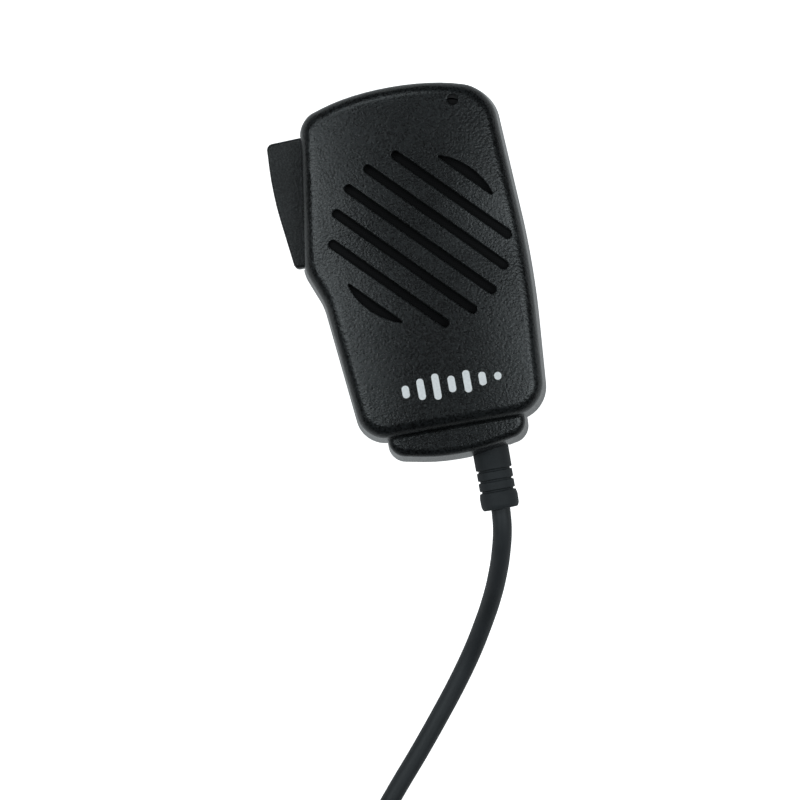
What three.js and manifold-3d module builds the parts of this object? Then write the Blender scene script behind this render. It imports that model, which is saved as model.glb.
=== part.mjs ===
// A hand-held speaker microphone for a two-way radio, in millimetres.
//
// The microphone lies on the flat face of its clip. +Z is up, out through the loudspeaker grille,
// +Y runs to the top of the microphone, and +X is to the right as seen from the front.
// The origin is on the loudspeaker's axis, which is also the clip's swivel axis, at the clip's flat face.

import * as THREE from 'three';
import { mergeVertices } from 'three/addons/utils/BufferGeometryUtils.js';
import Module from 'manifold-3d';

const wasm = await Module();
wasm.setup();

// ---------------------------------------------------------------------------------------------
// Driving dimensions

const GAP = 0.3; // clearance between pieces that touch

// Case outline, seen from the front
const CASE_HALF_WIDTH = 22.5; // from the loudspeaker's axis to the waist
const CASE_TOP = 32.5; // highest point of the crown
const CASE_BOTTOM = -40.2; // lower edge of the main face
const WAIST_Y = -9;
const CROWN_RADIUS = 51;
const TOP_TAPER = 2.1; // how far the top corners stand in from the waist
const BOTTOM_TAPER = 2.3;
const LEFT_BOTTOM_TAPER = 3.6;
const TOP_CORNER_DROP = 4; // from the crown to the top corners
const TOP_RIGHT_RADIUS = 8;
const TOP_LEFT_RADIUS = 4.5;
const BOTTOM_RIGHT_RADIUS = 7;
const BOTTOM_LEFT_RADIUS = 6;
const SHOULDER_Y = -2.6; // where the left side steps out beside the talk bar
const SHOULDER_STEP = 3;
const SHOULDER_RUN = 7.6;
const CHIN_DROP = 5.9; // how far the chin reaches below the main face
const CHIN_HALF_WIDTH = 15;
const CHIN_STEP_BACK = 3; // how far the chin's face lies behind the main face

// Case depth
const CASE_BACK = 10.5; // the rear face's height above the clip's flat face
const CASE_DEPTH = 25;
const REAR_DEPTH = 10; // from the rear face to the parting line
const WALL = 2;
const FRONT_FILLET = 2.5;
const REAR_FILLET = 3.5;

// Grille
const GRILLE_RADIUS = 18; // circle that the slot ends' centres lie on
const SLOT_WIDTH = 1.7;
const SLOT_PITCH = 5.6;
const SLOTS = 5;
const CRESCENT_OFFSET = 15.95; // straight edge of the crescent openings, from the axis
const CRESCENT_LENGTH = 13;
const CRESCENT_RISE = 2.6;
const SOUND_HOLE_RADIUS = 1.1;
const SOUND_HOLE = [11.5, CASE_TOP - 5.3];

// Loudspeaker
const SPEAKER_RADIUS = 18.8;
const SPEAKER_RIM = 0.8;
const MAGNET_RADIUS = 8.5;
const MAGNET_HEIGHT = 3.7;

// Talk bar and its switch
const BAR_TOP = 25.2;
const BAR_BOTTOM = -1.3;
const BAR_DEPTH = 12; // along Z
const BAR_PROUD_TOP = 6.9; // how far the bar stands out of the case at its top
const BAR_PROUD_MIDDLE = 5.9;
const BAR_PROUD_BOTTOM = 1.5;
const BAR_WALL = 1.6;
const BAR_CLEARANCE = 0.5;
const FLANGE = 1.2; // thickness of the lip that keeps the bar in the case
const FLANGE_LIP = 1.1;
const PIVOT_Y = 1.5;
const PIVOT_PIN_RADIUS = 1;
const PIN_CLEARANCE = 0.3;
const SWITCH_Y = 14;
const SWITCH_SIZE = [6, 6, 4.6];
const PLUNGER_RADIUS = 1.1;
const PLUNGER_STANDOUT = 1.8;

// Circuit board
const BOARD_THICKNESS = 1.6;
const BOARD_HEIGHT = 9.1; // its underside above the rear face

// Screws
const CASE_SCREW_RADIUS = 0.9;
const CASE_SCREW_HEAD = [2.2, 1.5]; // radius and height
const BOARD_SCREW_RADIUS = 0.8;
const BOARD_SCREW_HEAD = [1.8, 1.2];
const POST_WALL = 1.7; // plastic round a screw's hole

// Clip
const CLIP_PLATE = 1.6;
const CLIP_BASE_HALF_WIDTH = 8;
const CLIP_BASE_TOP = 13;
const CLIP_LENGTH = 27.5; // from the swivel axis to the clip's tip
const CLIP_THUMB = 20; // from the swivel axis to the end of the jaw's thumb piece
const JAW_HALF_WIDTH = 9;
const JAW_PLATE = 1.8;
const CLIP_HINGE_Y = 7.5;
const CLIP_HINGE_Z = 4.6;
const CLIP_PIN_RADIUS = 1;
const EAR = 1.3; // ear thickness
const SPRING_RADIUS = 2;
const SPRING_WIRE = 0.4;
const SWIVEL_SCREW_RADIUS = 1.5;
const SWIVEL_HEAD = [3, 1.5];

// Cord, its strain relief and its plug
const CORD_RADIUS = 2;
const CORD_X = 6.9;
const RELIEF_RADIUS = 3.8;
const RELIEF_LENGTH = 12.1; // outside the case
const RELIEF_RINGS = 3;
const RELIEF_COLLAR = 4.5;
const COIL_CENTRE = [-22, -160];
const COIL_RADIUS = 22; // at the middle of its turns
const COIL_BAND = 14; // width of the bundle of turns
const COIL_HEIGHT = 8;
const PLUG_CENTRE = [17.6, -159]; // middle of the plug housing's cord end
const PLUG_SIZE = [19.5, 19, 10];
const PLUG_PIN_SPACING = 11.6;
const PLUG_RELIEF_LENGTH = 11;
const BIG_PIN = [1.75, 14];
const SMALL_PIN = [1.25, 11];

// ---------------------------------------------------------------------------------------------
// Finishes

const finish = (color, roughness, metalness = 0) =>
  new THREE.MeshStandardMaterial({ color, roughness, metalness });

const blackCase = finish(0x1c1d1f, 0.55);
const blackBar = finish(0x151617, 0.75);
const blackRubber = finish(0x2b2e30, 0.8);
const blackClip = finish(0x1a1b1c, 0.5);
const blackPlastic = finish(0x202124, 0.6);
const steel = finish(0xb8bcc0, 0.3, 1);
const darkSteel = finish(0x4a4c50, 0.4, 1);
const brass = finish(0xc9a24a, 0.3, 1);
const nickel = finish(0xcfd2d4, 0.22, 1);
const greenBoard = finish(0x1f6b3f, 0.5);
const greyCloth = finish(0x3c3d3f, 0.95);
const paperCone = finish(0x2a2826, 0.9);
const foam = finish(0x2d2d2d, 0.95);
const redLead = finish(0xb0271f, 0.5);
const blackLead = finish(0x222222, 0.5);
const whiteLead = finish(0xd8d6cf, 0.5);
const yellowLead = finish(0xd1b02c, 0.5);
const whiteNylon = finish(0xe2e0d8, 0.5);

// ---------------------------------------------------------------------------------------------
// Shaping tools

const microphone = new THREE.Group();

function solid(geometry) {
  const bare = geometry.clone();
  bare.deleteAttribute('normal');
  bare.deleteAttribute('uv');
  const merged = mergeVertices(bare, 1e-4);
  const mesh = { numProp: 3, vertProperties: merged.attributes.position.array, triVerts: merged.index.array };
  return new wasm.Manifold(new wasm.Mesh(mesh));
}

function add(name, shape, material) {
  const { vertProperties, triVerts } = shape.getMesh();
  const geometry = new THREE.BufferGeometry();
  geometry.setAttribute('position', new THREE.BufferAttribute(vertProperties, 3));
  geometry.setIndex(new THREE.BufferAttribute(triVerts, 1));
  geometry.computeVertexNormals();
  const mesh = new THREE.Mesh(geometry, material.clone());
  mesh.name = name;
  microphone.add(mesh);
}

const join = (first, ...others) => others.reduce((whole, piece) => whole.add(piece), first);
const cut = (first, ...others) => others.reduce((whole, piece) => whole.subtract(piece), first);

function box([x0, x1], [y0, y1], [z0, z1]) {
  const geometry = new THREE.BoxGeometry(x1 - x0, y1 - y0, z1 - z0);
  return solid(geometry.translate((x0 + x1) / 2, (y0 + y1) / 2, (z0 + z1) / 2));
}

// A round bar along one axis, from start to end on that axis, centred on the other two coordinates.
function rod(axis, radius, [start, end], [u, v], sides = 16) {
  const geometry = new THREE.CylinderGeometry(radius, radius, end - start, sides);
  const middle = (start + end) / 2;
  if (axis === 'x') geometry.rotateZ(-Math.PI / 2).translate(middle, u, v);
  if (axis === 'y') geometry.translate(u, middle, v);
  if (axis === 'z') geometry.rotateX(Math.PI / 2).translate(u, v, middle);
  return solid(geometry);
}

// A turned piece about +Z from its profile of [radius, height] points.
function turned(profile, sides = 32) {
  const points = profile.map(([radius, height]) => new THREE.Vector2(radius, height));
  return solid(new THREE.LatheGeometry(points, sides).rotateX(Math.PI / 2));
}

// A turned piece along -Y, from y at its start, on the axis through x and z.
function turnedAlongCord(profile, [x, y, z], sides = 24) {
  const points = profile.map(([radius, along]) => new THREE.Vector2(radius, along));
  return solid(new THREE.LatheGeometry(points, sides).rotateX(Math.PI).translate(x, y, z));
}

function tube(points, radius, sides, steps) {
  const curve = new THREE.CatmullRomCurve3(points.map((p) => new THREE.Vector3(...p)), false, 'centripetal');
  const section = [];
  for (let i = 0; i < sides; i += 1) {
    const angle = (2 * Math.PI * i) / sides;
    section.push(new THREE.Vector2(radius * Math.cos(angle), radius * Math.sin(angle)));
  }
  return solid(new THREE.ExtrudeGeometry(new THREE.Shape(section), { steps, extrudePath: curve }));
}

// A closed outline from its corners, each [x, y, radius], with the corners rounded.
function outline(corners) {
  const points = [];
  corners.forEach(([x, y, radius], i) => {
    const corner = new THREE.Vector2(x, y);
    const [backX, backY] = corners.at(i - 1);
    const [nextX, nextY] = corners[(i + 1) % corners.length];
    const back = new THREE.Vector2(backX, backY).sub(corner).normalize();
    const next = new THREE.Vector2(nextX, nextY).sub(corner).normalize();
    const half = Math.acos(back.dot(next)) / 2;
    const centre = back.clone().add(next).setLength(radius / Math.sin(half)).add(corner);
    const start = back.clone().multiplyScalar(radius / Math.tan(half)).add(corner).sub(centre);
    const turn = (Math.PI - 2 * half) * Math.sign(next.cross(back));
    const stepDegrees = radius > 40 ? 8 : 18;
    const steps = Math.max(2, Math.ceil(THREE.MathUtils.radToDeg(Math.abs(turn)) / stepDegrees));
    for (let k = 0; k <= steps; k += 1) {
      points.push(start.clone().rotateAround(new THREE.Vector2(), (turn * k) / steps).add(centre));
    }
  });
  return points;
}

// The same outline moved in by a distance.
function inset(points, distance) {
  return points.map((point, i) => {
    const before = point.clone().sub(points.at(i - 1)).normalize();
    const after = points[(i + 1) % points.length].clone().sub(point).normalize();
    const along = before.add(after).normalize();
    return new THREE.Vector2(point.x - along.y * distance, point.y + along.x * distance);
  });
}

function prism(points, [z0, z1]) {
  const flat = new THREE.Shape(points);
  const geometry = new THREE.ExtrudeGeometry(flat, { depth: z1 - z0, bevelEnabled: false });
  return solid(geometry.translate(0, 0, z0));
}

// A prism whose two ends are rounded over.
function roundedPrism(points, [z0, z1], fillet) {
  const geometry = new THREE.ExtrudeGeometry(new THREE.Shape(points), {
    depth: z1 - z0 - 2 * fillet,
    bevelThickness: fillet,
    bevelSize: fillet,
    bevelOffset: -fillet,
    bevelSegments: 3,
  });
  return solid(geometry.translate(0, 0, z0 + fillet));
}

const FAR = 200; // past everything
const above = (z) => box([-FAR, FAR], [-FAR, FAR], [z, FAR]);
const below = (z) => box([-FAR, FAR], [-FAR, FAR], [-FAR, z]);

// ---------------------------------------------------------------------------------------------
// Case: two shells that meet at the parting line, round the loudspeaker and the talk bar

const PARTING = CASE_BACK + REAR_DEPTH;
const CASE_FRONT = CASE_BACK + CASE_DEPTH;
const FRONT_INSIDE = CASE_FRONT - WALL;
const FLOOR = CASE_BACK + WALL; // inside of the rear cover

const shoulder = [-(CASE_HALF_WIDTH + SHOULDER_STEP - 0.5), SHOULDER_Y];
const topLeft = [-(CASE_HALF_WIDTH - TOP_TAPER), CASE_TOP - TOP_CORNER_DROP + 0.3];
const topRight = [CASE_HALF_WIDTH - TOP_TAPER, CASE_TOP - TOP_CORNER_DROP];
const crownSlope = 0.31;
const crown = [-0.5, topRight[1] + crownSlope * (topRight[0] + 0.5)];
const caseOutline = outline([
  [...topRight, TOP_RIGHT_RADIUS],
  [...crown, CROWN_RADIUS],
  [...topLeft, TOP_LEFT_RADIUS],
  [...shoulder, 6],
  [-(CASE_HALF_WIDTH - 0.5), SHOULDER_Y - SHOULDER_RUN, 10],
  [-(CASE_HALF_WIDTH - LEFT_BOTTOM_TAPER), CASE_BOTTOM, BOTTOM_LEFT_RADIUS],
  [CASE_HALF_WIDTH - BOTTOM_TAPER, CASE_BOTTOM, BOTTOM_RIGHT_RADIUS],
  [CASE_HALF_WIDTH, WAIST_Y, 150],
]);
const CHIN_BOTTOM = CASE_BOTTOM - CHIN_DROP;
const chinOutline = outline([
  [CHIN_HALF_WIDTH + 0.9, CASE_BOTTOM + 8, WALL + 1],
  [-(CHIN_HALF_WIDTH - 0.9), CASE_BOTTOM + 8, WALL + 1],
  [-(CHIN_HALF_WIDTH - 1.2), CHIN_BOTTOM + 2, 3.5],
  [0.5, CHIN_BOTTOM - 0.8, 40],
  [CHIN_HALF_WIDTH + 0.5, CHIN_BOTTOM + 2, 3.5],
]);

// The left side's straight run behind the talk bar: its X at a height Y.
const leftSide = (y) =>
  THREE.MathUtils.mapLinear(y, shoulder[1], topLeft[1], shoulder[0], topLeft[0]);

const CHIN_FRONT = CASE_FRONT - CHIN_STEP_BACK;
const inside = join(
  prism(inset(caseOutline, WALL), [FLOOR, FRONT_INSIDE]),
  prism(inset(chinOutline, WALL), [FLOOR, CHIN_FRONT - WALL]),
);
const frontOutside = join(
  roundedPrism(caseOutline, [CASE_BACK, CASE_FRONT], FRONT_FILLET),
  roundedPrism(chinOutline, [CASE_BACK, CHIN_FRONT], FRONT_FILLET - 1),
);
const rearOutside = join(
  roundedPrism(caseOutline, [CASE_BACK, CASE_FRONT], REAR_FILLET),
  roundedPrism(chinOutline, [CASE_BACK, CHIN_FRONT], FRONT_FILLET - 1),
);

// Screw posts inside the case
const POST_RADIUS = CASE_SCREW_RADIUS + GAP + POST_WALL;
const casePosts = [
  [-(CASE_HALF_WIDTH - 9.9), CASE_TOP - 10.7],
  [CASE_HALF_WIDTH - 6.7, CASE_TOP - 14.7],
  [-(CASE_HALF_WIDTH - 8.5), CASE_BOTTOM + 6.7],
  [CASE_HALF_WIDTH - 7.5, CASE_BOTTOM + 6.7],
];
const HEAD_SEAT = CASE_BACK + CASE_SCREW_HEAD[1] + 0.7;
const SCREW_TIP = FRONT_INSIDE - 4;

// Talk bar, placed against the case's left side
const PARTING_TO_BAR = 0.5;
const lipRoom = FLOOR + GAP + FLANGE_LIP + BAR_CLEARANCE; // lowest that the bar's body may reach
const BAR_MIDDLE = Math.max(PARTING + PARTING_TO_BAR, lipRoom + BAR_DEPTH / 2);
const BAR_Z = [BAR_MIDDLE - BAR_DEPTH / 2, BAR_MIDDLE + BAR_DEPTH / 2];
const barOpening = [BAR_Z[0] - BAR_CLEARANCE, BAR_Z[1] + BAR_CLEARANCE];
const pivot = [leftSide(PIVOT_Y) + WALL + 2.2, PIVOT_Y];
const BARREL_RADIUS = PIVOT_PIN_RADIUS + PIN_CLEARANCE + 0.9;
const BARREL_POST_RADIUS = BARREL_RADIUS + 0.3;
const openingCut = box(
  [-FAR, leftSide(BAR_TOP) + WALL + 1],
  [BAR_BOTTOM - BAR_CLEARANCE, BAR_TOP + BAR_CLEARANCE],
  barOpening,
);

// Where the cord's strain relief passes out between the two shells
const CORD_Z = PARTING;
const CHIN_EDGE = CHIN_BOTTOM + 0.5;
const reliefHole = rod('y', RELIEF_RADIUS + GAP, [CHIN_BOTTOM - 5, CHIN_BOTTOM + 6], [CORD_X, CORD_Z]);

// Grille openings, all at 45 degrees
const slotAngle = -Math.PI / 4;
function slot(offset) {
  const half = Math.sqrt(GRILLE_RADIUS ** 2 - offset ** 2);
  const shape = new THREE.Shape();
  shape.absarc(half, offset, SLOT_WIDTH / 2, -Math.PI / 2, Math.PI / 2);
  shape.absarc(-half, offset, SLOT_WIDTH / 2, Math.PI / 2, (3 * Math.PI) / 2);
  return shape;
}
function crescent(side) {
  const half = CRESCENT_LENGTH / 2;
  const radius = (half ** 2 + CRESCENT_RISE ** 2) / (2 * CRESCENT_RISE);
  const sweep = Math.asin(half / radius);
  const shape = new THREE.Shape();
  const middle = CRESCENT_OFFSET + CRESCENT_RISE - radius;
  const towards = (side * Math.PI) / 2;
  shape.absarc(0, side * middle, radius, towards - sweep, towards + sweep);
  return shape;
}
function opening(shape) {
  const settings = { depth: WALL + 2, bevelEnabled: false, curveSegments: 5 };
  const geometry = new THREE.ExtrudeGeometry(shape, settings);
  return solid(geometry.rotateZ(slotAngle).translate(0, 0, FRONT_INSIDE - 1));
}
const slotOffsets = Array.from({ length: SLOTS }, (_, i) => (i - (SLOTS - 1) / 2) * SLOT_PITCH);
const grilleOpenings = [...slotOffsets.map(slot), crescent(1), crescent(-1)].map(opening);

// The front cover, with the loudspeaker's ring wall, its four screw posts and the pivot post
const RING_INSIDE = SPEAKER_RADIUS + 0.4;
const RING_OUTSIDE = RING_INSIDE + 1.2;
const RING_BOTTOM = FRONT_INSIDE - 4.5;
const atPosts = (radius, span) => casePosts.map((place) => rod('z', radius, span, place));
const frontPosts = atPosts(POST_RADIUS, [PARTING + GAP / 2, FRONT_INSIDE + 0.5]);
const frontPilots = atPosts(CASE_SCREW_RADIUS + GAP, [PARTING - 1, SCREW_TIP + 1]);
const speakerRing = cut(
  rod('z', RING_OUTSIDE, [RING_BOTTOM, FRONT_INSIDE + 0.5], [0, 0], 40),
  rod('z', RING_INSIDE, [RING_BOTTOM - 1, FRONT_INSIDE], [0, 0], 40),
);
const pinTop = barOpening[1] + 3;
const frontPivotPost = cut(
  rod('z', BARREL_POST_RADIUS, [barOpening[1], FRONT_INSIDE + 0.5], pivot),
  rod('z', RING_INSIDE, [RING_BOTTOM - 1, FRONT_INSIDE], [0, 0], 40),
);
const frontShell = cut(frontOutside, inside, below(PARTING + GAP / 2), openingCut);
const frontCover = cut(
  join(frontShell, speakerRing, ...frontPosts, frontPivotPost),
  ...frontPilots,
  ...grilleOpenings,
  rod('z', SOUND_HOLE_RADIUS, [FRONT_INSIDE - 1, CASE_FRONT + 1], SOUND_HOLE, 16),
  rod('z', PIVOT_PIN_RADIUS + PIN_CLEARANCE, [barOpening[1] - 1, pinTop + GAP], pivot),
  reliefHole,
);
add('front_cover', frontCover, blackCase);

// The rear cover, with its screw posts, the board's posts and the boss for the clip's swivel
const boardPosts = [
  [-10, CASE_BOTTOM + 16],
  [10, 8],
];
const BOARD_BOTTOM = CASE_BACK + BOARD_HEIGHT;
const BOARD_TOP = BOARD_BOTTOM + BOARD_THICKNESS;
const BOARD_PILOT = BOARD_SCREW_RADIUS + GAP;
const BOARD_SCREW_TIP = BOARD_BOTTOM - 4.5;
const SWIVEL_BOSS = 0.8; // how far the boss stands out of the rear face
const INSERT_RADIUS = SWIVEL_SCREW_RADIUS + 1.1;
const INSERT_LENGTH = 4.4;
const pinBottom = barOpening[0] - 1.6;
const rearPosts = casePosts.map((place) => rod('z', POST_RADIUS, [FLOOR - 0.5, PARTING - GAP / 2], place));
const headRecesses = atPosts(CASE_SCREW_HEAD[0] + GAP, [CASE_BACK - 1, HEAD_SEAT]);
const rearPilots = atPosts(CASE_SCREW_RADIUS + GAP, [HEAD_SEAT - 1, PARTING + 1]);
const rearShell = cut(rearOutside, inside, above(PARTING - GAP / 2), openingCut);
const rearCover = cut(
  join(
    rearShell,
    ...rearPosts,
    ...boardPosts.map((place) => rod('z', BOARD_PILOT + 1.1, [FLOOR - 0.5, BOARD_BOTTOM - GAP], place)),
    rod('z', BARREL_POST_RADIUS, [FLOOR - 0.5, barOpening[0]], pivot),
    rod('z', 7, [CASE_BACK - SWIVEL_BOSS, CASE_BACK + 1], [0, 0], 36),
    rod('z', INSERT_RADIUS + 2, [FLOOR - 0.5, FLOOR + INSERT_LENGTH + 0.6], [0, 0]),
  ),
  ...headRecesses,
  ...rearPilots,
  ...boardPosts.map((place) => rod('z', BOARD_PILOT, [BOARD_SCREW_TIP - GAP, BOARD_BOTTOM], place)),
  rod('z', PIVOT_PIN_RADIUS + PIN_CLEARANCE, [pinBottom - GAP, barOpening[0] + 1], pivot),
  rod('z', SWIVEL_SCREW_RADIUS + GAP, [CASE_BACK - SWIVEL_BOSS - 1, FLOOR + 1], [0, 0]),
  rod('z', INSERT_RADIUS + GAP, [FLOOR, FLOOR + INSERT_LENGTH + 2], [0, 0]),
  reliefHole,
);
add('rear_cover', rearCover, blackCase);

casePosts.forEach((place, i) => {
  const [headRadius, headHeight] = CASE_SCREW_HEAD;
  const headTop = HEAD_SEAT - GAP;
  const slotDepth = [0, headTop - headHeight + 0.7];
  const slotCut = box([place[0] - 3, place[0] + 3], [place[1] - 0.3, place[1] + 0.3], slotDepth);
  const crossCut = box([place[0] - 0.3, place[0] + 0.3], [place[1] - 3, place[1] + 3], slotDepth);
  const head = rod('z', headRadius, [headTop - headHeight, headTop], place, 20);
  const shank = rod('z', CASE_SCREW_RADIUS, [headTop - 0.5, SCREW_TIP], place, 12);
  add(`case_screw_${i + 1}`, cut(join(head, shank), slotCut, crossCut), darkSteel);
});

// ---------------------------------------------------------------------------------------------
// Talk bar: a hollow bar on a pin at its lower end, with a lip inside the case and a finger on the switch

const barOuter = [
  [leftSide(BAR_TOP) - BAR_PROUD_TOP, BAR_TOP - 0.3, 1.2],
  [leftSide(SWITCH_Y) - BAR_PROUD_MIDDLE - 0.3, SWITCH_Y, 60],
  [leftSide(BAR_BOTTOM) - BAR_PROUD_BOTTOM, BAR_BOTTOM, 0.8],
];
const lipInside = (y) => leftSide(y) + WALL + GAP + FLANGE;
const LIP_TOP = BAR_TOP - 1.2;
const barBody = prism(
  outline([
    ...barOuter,
    [lipInside(BAR_BOTTOM) - FLANGE / 2, BAR_BOTTOM, 0.3],
    [lipInside(BAR_TOP) - FLANGE / 2, BAR_TOP, 0.3],
  ]),
  BAR_Z,
);
const barLip = prism(
  outline([
    [lipInside(LIP_TOP) - FLANGE, LIP_TOP, 0.3],
    [lipInside(PIVOT_Y) - FLANGE, PIVOT_Y, 0.3],
    [lipInside(PIVOT_Y), PIVOT_Y, 0.3],
    [lipInside(LIP_TOP), LIP_TOP, 0.3],
  ]),
  [barOpening[0] - FLANGE_LIP, barOpening[1] + FLANGE_LIP],
);
const POCKET = [PIVOT_Y + BARREL_RADIUS + 1, BAR_TOP - BAR_WALL - 0.8];
const barPocket = prism(
  outline([
    [leftSide(POCKET[1]) - BAR_PROUD_TOP + BAR_WALL + 0.6, POCKET[1], 0.5],
    [leftSide(POCKET[0]) - BAR_PROUD_BOTTOM - 0.4, POCKET[0], 0.5],
    [lipInside(POCKET[0]) + 2, POCKET[0], 0.5],
    [lipInside(POCKET[1]) + 2, POCKET[1], 0.5],
  ]),
  [BAR_Z[0] + BAR_WALL, BAR_Z[1] - BAR_WALL],
);
const SWITCH_Z = [BOARD_TOP + GAP, BOARD_TOP + GAP + SWITCH_SIZE[2]];
const PLUNGER_Z = (SWITCH_Z[0] + SWITCH_Z[1]) / 2;
const FINGER_TIP = lipInside(SWITCH_Y) + 0.4;
const FINGER_HALF = [0.9, 2]; // along Y and along Z
const finger = box(
  [leftSide(SWITCH_Y) - BAR_PROUD_MIDDLE + 1, FINGER_TIP],
  [SWITCH_Y - FINGER_HALF[0], SWITCH_Y + FINGER_HALF[0]],
  [PLUNGER_Z - FINGER_HALF[1], PLUNGER_Z + FINGER_HALF[1]],
);
const bar = cut(
  join(
    cut(join(barBody, barLip), barPocket),
    finger,
    rod('z', BARREL_RADIUS, BAR_Z, pivot),
  ),
  rod('z', PIVOT_PIN_RADIUS + PIN_CLEARANCE, [-FAR, FAR], pivot),
  rod('z', BARREL_POST_RADIUS + 0.6, [barOpening[0] - FLANGE_LIP - 1, barOpening[0] + 0.1], pivot),
  rod('z', BARREL_POST_RADIUS + 0.6, [barOpening[1] - 0.1, barOpening[1] + FLANGE_LIP + 1], pivot),
);
add('talk_bar', bar, blackBar);
add('talk_bar_pin', rod('z', PIVOT_PIN_RADIUS, [pinBottom, pinTop], pivot, 16), steel);

const PLUNGER_TIP = FINGER_TIP + GAP;
const SWITCH_X = [PLUNGER_TIP + PLUNGER_STANDOUT, PLUNGER_TIP + PLUNGER_STANDOUT + SWITCH_SIZE[0]];
const switchBody = cut(
  box(SWITCH_X, [SWITCH_Y - SWITCH_SIZE[1] / 2, SWITCH_Y + SWITCH_SIZE[1] / 2], SWITCH_Z),
  rod('x', PLUNGER_RADIUS + 0.3, [SWITCH_X[0] - 1, SWITCH_X[0] + 4], [SWITCH_Y, PLUNGER_Z], 16),
);
add('talk_switch', switchBody, blackPlastic);
const plungerSpan = [PLUNGER_TIP, SWITCH_X[0] + 2];
add('talk_switch_plunger', rod('x', PLUNGER_RADIUS, plungerSpan, [SWITCH_Y, PLUNGER_Z], 16), whiteNylon);

// ---------------------------------------------------------------------------------------------
// Circuit board and what is on it

const BOARD_CORNER = 1.5;
const boardLeft = lipInside(SWITCH_Y) + 1.4;
const boardRight = CASE_HALF_WIDTH - 8.5;
const boardSpan = [CASE_BOTTOM + 11.2, SWITCH_Y + SWITCH_SIZE[1] / 2 + 0.5];
const upperRight = casePosts[1][1] - POST_RADIUS - 0.8;
const board = cut(
  prism(
    outline([
      [boardLeft + 1, boardSpan[0], BOARD_CORNER],
      [boardRight, boardSpan[0], BOARD_CORNER],
      [boardRight, upperRight, 0.8],
      [boardRight - 4, upperRight, 0.8],
      [boardRight - 6, boardSpan[1], 0.8],
      [boardLeft, boardSpan[1], 0.8],
      [boardLeft, PIVOT_Y + 6, 0.8],
      [boardLeft + 1, PIVOT_Y + 4, 0.8],
    ]),
    [BOARD_BOTTOM, BOARD_TOP],
  ),
  ...boardPosts.map((place) => rod('z', BOARD_PILOT, [BOARD_BOTTOM - 1, BOARD_TOP + 1], place)),
);
add('circuit_board', board, greenBoard);
boardPosts.forEach((place, i) => {
  const [headRadius, headHeight] = BOARD_SCREW_HEAD;
  const seat = BOARD_TOP + GAP;
  const head = rod('z', headRadius, [seat, seat + headHeight], place, 16);
  const shank = rod('z', BOARD_SCREW_RADIUS, [BOARD_SCREW_TIP, seat + 0.5], place, 12);
  add(`board_screw_${i + 1}`, join(head, shank), steel);
});
const onBoard = BOARD_TOP + GAP;
const underBoard = BOARD_BOTTOM - GAP;
add('amplifier_chip', box([-5, 3], [-23.5, -18.5], [onBoard, onBoard + 1.6]), blackPlastic);
add('large_capacitor', rod('z', 2.5, [underBoard - 5.4, underBoard], [6, -21], 20), blackPlastic);
add('small_capacitor', rod('z', 2, [onBoard, onBoard + 5], [9, -25], 16), blackPlastic);
const headerY = [boardSpan[0] + 0.6, boardSpan[0] + 3.4];
add('cord_header', box([-6.5, 5.5], headerY, [onBoard, onBoard + 2.4]), whiteNylon);

// ---------------------------------------------------------------------------------------------
// Loudspeaker and its cloth, held in the front cover's ring wall

const CLOTH = 0.3;
const GASKET = 0.9;
const clothTop = FRONT_INSIDE - GAP;
const gasketTop = clothTop - CLOTH - GAP;
const rimTop = gasketTop - GASKET - GAP;
const basketBottom = rimTop - 4;
const SEAT_WIDTH = 1.6;
add('grille_cloth', rod('z', SPEAKER_RADIUS, [clothTop - CLOTH, clothTop], [0, 0], 40), greyCloth);
const gasketProfile = [
  [SPEAKER_RADIUS - SEAT_WIDTH, gasketTop],
  [SPEAKER_RADIUS - SEAT_WIDTH, gasketTop - GASKET],
  [SPEAKER_RADIUS, gasketTop - GASKET],
  [SPEAKER_RADIUS, gasketTop],
  [SPEAKER_RADIUS - SEAT_WIDTH, gasketTop],
];
add('speaker_gasket', turned(gasketProfile, 40), foam);
const CONE_EDGE = SPEAKER_RADIUS - 3;
const basketProfile = [
  [0, basketBottom - SPEAKER_RIM],
  [MAGNET_RADIUS + 0.7, basketBottom - SPEAKER_RIM],
  [SPEAKER_RADIUS - 1, rimTop - SPEAKER_RIM],
  [SPEAKER_RADIUS, rimTop - SPEAKER_RIM],
  [SPEAKER_RADIUS, rimTop],
  [SPEAKER_RADIUS - SEAT_WIDTH, rimTop],
  [MAGNET_RADIUS + 0.5, basketBottom],
  [0, basketBottom],
];
add('speaker_basket', turned(basketProfile, 40), darkSteel);
const coneProfile = [
  [0, basketBottom + 2.4],
  [2.5, basketBottom + 1.9],
  [5, basketBottom + 0.5],
  [CONE_EDGE, rimTop - 0.4],
  [CONE_EDGE, rimTop],
  [5, basketBottom + 0.9],
  [2.5, basketBottom + 2.3],
  [0, basketBottom + 2.8],
];
add('speaker_cone', turned(coneProfile, 32), paperCone);
const magnetTop = basketBottom - SPEAKER_RIM - GAP;
add('speaker_magnet', rod('z', MAGNET_RADIUS, [magnetTop - MAGNET_HEIGHT, magnetTop], [0, 0], 32), darkSteel);
const padSpan = [onBoard, magnetTop - MAGNET_HEIGHT - GAP];
add('magnet_foam_pad', rod('z', MAGNET_RADIUS - 1.5, padSpan, [0, 0], 24), foam);
const terminalZ = [basketBottom - SPEAKER_RIM - 0.8, basketBottom - SPEAKER_RIM];
const terminalY = [-(MAGNET_RADIUS + 6), -(MAGNET_RADIUS + 2.6)];
add('speaker_terminals', box([-4, 4], terminalY, terminalZ), greenBoard);

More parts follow.
